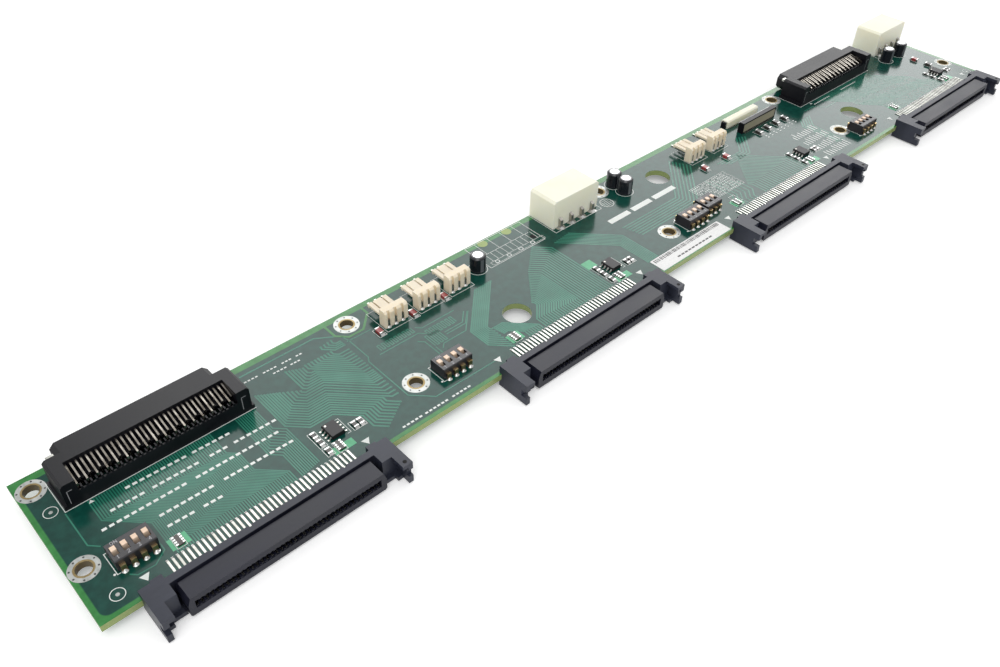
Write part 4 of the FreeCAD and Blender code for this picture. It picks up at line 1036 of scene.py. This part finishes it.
def label_print():
    """Plain dark bars of varied widths on the label, and a row of short ones in front."""
    random = np.random.default_rng(5)
    low, high = extent("bar_label")
    top = high[2] + 0.02
    stripes = []
    x = low[0] + 0.9
    while x < high[0] - 1.0:
        width = random.uniform(0.15, 0.5)
        stripes.append(patch(x, high[1] - 1.9, x + width, high[1] - 0.4, top))
        x += width + random.uniform(0.2, 0.45)
    stripes += [
        patch(start, low[1] + 1.5, start + 1.4, low[1] + 2.1, top)
        for start in np.arange(low[0] + 9.0, high[0] - 9.0, 1.8)
    ]
    piece("label_bars", stripes, INK)


white_print()
label_print()


# Components

# Heights of the drive sockets' slot and how far the ribs reach into it, in mm.
SLOT_TOP = 0.25
SLOT_BOTTOM = -2.25
RIB_REACH = 0.35

# The diodes that are red glass, as places in the list of them all.
RED = (0, 1, 2, 3, 4, 9)

# The strokes of each sign on the switches, in a cell one wide and 1.6 high.
SIGNS = {
    "1": [[(0.3, 1.2), (0.5, 1.6), (0.5, 0.0)]],
    "2": [[(0.0, 1.4), (0.3, 1.6), (0.8, 1.5), (0.9, 1.1), (0.0, 0.0), (0.95, 0.0)]],
    "3": [[(0.0, 1.5), (0.7, 1.6), (0.9, 1.2), (0.4, 0.85), (0.9, 0.45), (0.7, 0.0), (0.0, 0.1)]],
    "4": [[(0.7, 0.0), (0.7, 1.6), (0.0, 0.5), (0.95, 0.5)]],
    "O": [[(0.0, 0.3), (0.0, 1.3), (0.35, 1.6), (0.65, 1.6), (1.0, 1.3), (1.0, 0.3), (0.65, 0.0),
           (0.35, 0.0), (0.0, 0.3), (0.0, 0.5)]],
    "N": [[(0.0, 0.0), (0.0, 1.6), (1.0, 0.0), (1.0, 1.6)]],
}


def strokes(sign, x, y, size, level, width):
    """A sign's strokes as ribbons: its cell's points times the size, moved to x, y."""
    return [
        ribbon(np.array(path) * size + (x, y), width, level) for path in SIGNS[sign]
    ]


def switch_marks():
    """Position numbers in front of the sliders and ON behind them, printed on the switches."""
    marks = []
    for index in range(1, 6):
        low, high, xs = switch_places(index)
        top = high[2] + 0.02
        for position, x in enumerate(xs, start=1):
            marks += strokes(str(position), x - 0.3, low[1] + 0.45, 0.6, top, 0.13)
        for step, sign in enumerate("ON"):
            marks += strokes(sign, low[0] + 1.4 + step * 0.9, high[1] - 1.2, 0.55, top, 0.12)
    piece("switch_marks", marks, SWITCH_PRINT)


def side_stripe(x, y, radius, low, high):
    """Strip of the upright cylinder round x, y, between two heights: seven points at equal
    angles on the side that faces the drive sockets, each joined to the next."""
    angle = np.radians(np.linspace(-112.0, -84.0, 7))
    count = len(angle)
    circle = np.column_stack([x + radius * np.cos(angle), y + radius * np.sin(angle)])
    rows = [np.column_stack([circle, np.full(count, z)]) for z in (low, high)]
    i = np.arange(count - 1)
    return np.concatenate(rows), np.stack([i, i + 1, i + 1 + count, i + count], 1)


def capacitor_tops():
    """Bare discs with a scored cross on the capacitors, inside the sleeve's edge, and a pale stripe
    on each side wall."""
    tops, stripes, scores = [], [], []
    for index in range(1, 6):
        low, high = extent(f"capacitor_{index}")
        x, y = centre_of(f"capacitor_{index}")
        top = high[2]
        tops.append(turned(x, y, [(1.50, top + 0.05), (1.62, top + 0.01)], 32, closed=True))
        scores.append(ribbon([(x - 1.1, y), (x + 1.1, y)], 0.12, top + 0.06))
        scores.append(ribbon([(x, y - 1.1), (x, y + 1.1)], 0.12, top + 0.06))
        stripes.append(side_stripe(x, y, (high[0] - low[0]) / 2 + 0.02, 0.4, top - 0.6))
    piece("capacitor_tops", tops, ALUMINIUM)
    piece("capacitor_scores", scores, DULL_TIN)
    piece("capacitor_stripes", stripes, STRIPE, smooth=True)


def tinned_ends(x, y, half, inner, outer, height):
    """Blocks over both ends of a chip part, between two distances from its middle."""
    return [
        block((x - half, y + side * inner, 0.0), (x + half, y + side * outer, height))
        for side in (-1.0, 1.0)
    ]


def end_fillets(x, y, half, outer, rise):
    """Fillets of solder in front of both ends of a chip part."""
    return [
        wedge(x, half, y + side * outer, y + side * (outer + 0.5), 0.01, rise)
        for side in (-1.0, 1.0)
    ]


def part_ends():
    """Tinned ends and solder on the chip resistors, arrays and diodes."""
    ends, tabs = [], []
    resistors = []
    for bay, chip in zip(BAYS, CHIP_STARTS):
        resistors += [(chip + 45.9, y) for y in (15.0, 11.9, 8.3)]
        resistors += [(chip + x, 11.4) for x in (56.2, 58.0)]
        for x, y in ((bay + 4.6, 8.8), (chip + 49.1, 8.1)):
            for row_y in y + np.array([-1.2, -0.4, 0.4, 1.2]):
                ends.append(block((x - 1.15, row_y - 0.24, 0.0), (x - 0.55, row_y + 0.24, 0.64)))
                ends.append(block((x + 0.55, row_y - 0.24, 0.0), (x + 1.15, row_y + 0.24, 0.64)))
    for x, y in resistors:
        ends += tinned_ends(x, y, 0.66, 0.62, 1.04, 0.64)
        tabs += end_fillets(x, y, 0.62, 1.04, 0.45)
    for x, y in DIODES:
        ends += tinned_ends(x, y, 0.79, 1.0, 1.4, 1.14)
        tabs += end_fillets(x, y, 0.7, 1.4, 0.7)
    piece("part_ends", ends, SOLDER)
    piece("part_solder", tabs, SOLDER)


def diode_bodies():
    """Red glass over the diodes that aren't black."""
    places = [DIODES[index] for index in RED]
    shells = [block((x - 0.78, y - 0.99, 0.0), (x + 0.78, y + 0.99, 1.13)) for x, y in places]
    piece("red_diodes", shells, RED_DIODE)


def cable_connector_details():
    """Comb between the first pins, dark patches of painted shade for the contact holes in the mating face,
    an angle mark on each end block and the clip beside the left one."""
    comb, holes, marks, clips = [], [], [], []
    front = CONNECTOR_Y - 0.03
    for index, middle in enumerate(CONNECTOR_X, start=1):
        back = extent(f"cable_connector_{index}")[1][1] + 0.03
        first = middle - LEAD_PITCH * CABLE_LEADS / 2
        for x in first + LEAD_PITCH * np.arange(CABLE_LEADS + 1):
            comb.append(block((x - 0.2, CONNECTOR_Y + 0.1, 3.6), (x + 0.2, CONNECTOR_Y + 1.3, 4.9)))
        for x in first + LEAD_PITCH * (np.arange(CABLE_LEADS) + 0.5):
            # Dark flat patches of painted shade stand for the contact holes.
            holes += [upright(x - 0.35, z - 0.4, x + 0.35, z + 0.4, back) for z in (2.9, 5.1)]
        for x in (middle - 23.2, middle + 23.2):
            flat, faces = ribbon([(x - 0.7, 1.4), (x - 0.7, 5.6), (x + 0.6, 5.6)], 0.16, 0.0)
            marks.append((np.column_stack([flat[:, 0], np.full(len(flat), front), flat[:, 1]]), faces))
        clips.append(block((middle - 23.6, 44.6, 6.2), (middle - 21.6, 46.2, 7.05)))
    piece("cable_comb", comb, BLACK)
    piece("cable_contact_hole_shade", holes, SHADE)
    piece("cable_marks", marks, SWITCH_PRINT)
    piece("cable_clips", clips, TIN)


def socket_details():
    """Ribs between the contacts at the mouth of each drive socket, and a dark disc of painted shade for
    the eye in its right arm.
    """
    ribs, eyes = [], []
    front = extent("socket_leads_1")[0][1] - 0.5
    rib_heights = (
        (SLOT_TOP - RIB_REACH, SLOT_TOP + 0.01), (SLOT_BOTTOM - 0.01, SLOT_BOTTOM + RIB_REACH),
    )
    for index, bay in enumerate(BAYS, start=1):
        for x in bay + LEAD_PITCH * (np.arange(LEAD_COUNT - 1) + 0.5):
            for low_z, high_z in rib_heights:
                ribs.append(block((x - 0.3, front + 0.1, low_z), (x + 0.3, front + 0.9, high_z)))
        low, high = extent(f"drive_socket_{index}")
        # The eye is a dark disc of painted shade for a hole.
        eyes.append(disc(high[0] - 1.5, low[1] + 1.3, 0.55, high[2] + 0.02, 20))
    piece("socket_ribs", ribs, SOCKET_GREY)
    piece("socket_eye_shade", eyes, SHADE)


def ribbon_socket_details():
    """Pale contact strip behind the black ribbon socket's band, and contacts in front of both."""
    low, high = extent("ribbon_socket_black")
    strip = block((low[0] + 0.8, high[1] - 0.1, 1.0), (high[0] - 0.8, high[1] + 0.5, high[2] - 0.8))
    piece("ribbon_light_strip", [strip], PRINT)
    ivory_front = extent("ribbon_socket_ivory")[0][1]
    rows = (
        (low[1], np.arange(low[0] + 1.5, high[0] - 1.0, 1.0)),
        (ivory_front, np.arange(STRIP_X - 0.5, STRIP_X + 18.0, 1.0)),
    )
    feet = [
        block((x - 0.2, front - 0.7, 0.0), (x + 0.2, front + 0.1, 0.25))
        for front, xs in rows for x in xs
    ]
    piece("ribbon_feet", feet, TIN)


def chip_dots():
    """First-pin dimple on each small chip."""
    top = extent("small_chips")[1][2] + 0.02
    dots = [disc(chip + 49.5, 14.9, 0.3, top, 16) for chip in CHIP_STARTS]
    piece("chip_dots", dots, DULL_TIN)


switch_marks()
capacitor_tops()
part_ends()
diode_bodies()
cable_connector_details()
socket_details()
ribbon_socket_details()
chip_dots()


# Lights and camera

# The photograph's camera: focal length and width in its pixels, aim and distance in board mm, and
# yaw, pitch and roll in degrees.
FOCAL_PIXELS = 927.75
PICTURE_WIDTH = 1000
CAMERA_AIM = (127.55, 12.83, 0.0)
CAMERA_DISTANCE = 269.92
CAMERA_ANGLES = (43.807, 41.555, -1.628)

# The world's strength as light on the object, and the glow that whitens the floor for the camera.
DIFFUSE_LEVEL = 0.78
FLOOR_LIFT = 0.24
FLOOR_REACH = 3.0
FLOOR_GAP = 0.0005


def lamp(name, location, target, size, power):
    """Rectangular area lamp that faces its target."""
    data = bpy.data.lights.new(name, "AREA")
    data.shape = "RECTANGLE"
    data.size, data.size_y = size
    data.energy = power
    lamp_object = placed(name, data)
    direction = Vector(target) - Vector(location)
    lamp_object.rotation_euler = direction.to_track_quat("-Z", "Y").to_euler()
    lamp_object.location = location
    return lamp_object


def camera():
    """The photograph's viewpoint: it looks along forward at the aim point from its distance, and
    its right and down are the level ones turned by the roll."""
    aim = to_row(CAMERA_AIM)
    yaw, pitch, roll = (math.radians(angle) for angle in CAMERA_ANGLES)
    forward = np.array([
        math.sin(yaw) * math.cos(pitch), math.cos(yaw) * math.cos(pitch), -math.sin(pitch),
    ])
    level_right = np.array([math.cos(yaw), -math.sin(yaw), 0.0])
    level_down = np.cross(forward, level_right)
    right = math.cos(roll) * level_right + math.sin(roll) * level_down
    down = -math.sin(roll) * level_right + math.cos(roll) * level_down
    data = bpy.data.cameras.new("camera")
    data.sensor_width = 36.0
    data.lens = FOCAL_PIXELS / PICTURE_WIDTH * data.sensor_width
    data.clip_start = 0.01
    view = placed("camera", data)
    matrix = np.eye(4)
    matrix[:3, 0], matrix[:3, 1], matrix[:3, 2] = right, -down, -forward
    matrix[:3, 3] = aim - forward * CAMERA_DISTANCE * MM
    view.matrix_world = Matrix(matrix.tolist())
    bpy.context.scene.camera = view


def seen_directly(nodes, links):
    """One for rays from the camera and for those in reflections and through clear things, and zero
    for the light that falls on the object."""
    rays = nodes.new("ShaderNodeLightPath").outputs
    seen = calculated(nodes, links, "ADD", rays["Is Camera Ray"], rays["Is Glossy Ray"])
    return calculated(nodes, links, "ADD", seen, rays["Is Transmission Ray"])


def floor():
    """White floor under the object."""
    level = CAD_BOX[0][2] - FLOOR_GAP
    mesh = bpy.data.meshes.new("floor")
    corners = [(x * FLOOR_REACH, y * FLOOR_REACH, level) for x, y in ((-1, -1), (1, -1), (1, 1), (-1, 1))]
    mesh.from_pydata(corners, [], [(0, 1, 2, 3)])
    material, nodes, links, shader = new_material("floor_white", (0.97, 0.97, 0.97), 0.9, specular=0.0)
    glow = calculated(nodes, links, "MULTIPLY", seen_directly(nodes, links), FLOOR_LIFT)
    shader.inputs["Emission Color"].default_value = (1.0, 1.0, 1.0, 1.0)
    links.new(glow, shader.inputs["Emission Strength"])
    mesh.materials.append(material)
    placed("floor", mesh)


def white_world():
    """White world at full strength for the camera and for reflections, lower as light on the object."""
    world = bpy.data.worlds.new("white")
    bpy.context.scene.world = world
    world.use_nodes = True
    nodes, links = world.node_tree.nodes, world.node_tree.links
    strength = nodes.new("ShaderNodeMapRange")
    strength.inputs["To Min"].default_value = DIFFUSE_LEVEL
    strength.inputs["To Max"].default_value = 1.0
    links.new(seen_directly(nodes, links), strength.inputs["Value"])
    background = nodes["Background"]
    background.inputs["Color"].default_value = (1.0, 1.0, 1.0, 1.0)
    links.new(strength.outputs["Result"], background.inputs["Strength"])


camera()
floor()
white_world()
# The far half's glare is a reflection of this card, which lights nothing else.
glare_card = lamp(
    "glare_card", location=(0.46, 0.32, 0.38), target=(0.41, 0.0, 0.0), size=(1.15, 0.34), power=5.2,
)
glare_card.visible_diffuse = False
lamp("key", location=(-0.45, -0.35, 0.75), target=(0.0, 0.0, 0.0), size=(0.5, 0.5), power=2.4)
bpy.context.scene.view_settings.view_transform = "Standard"
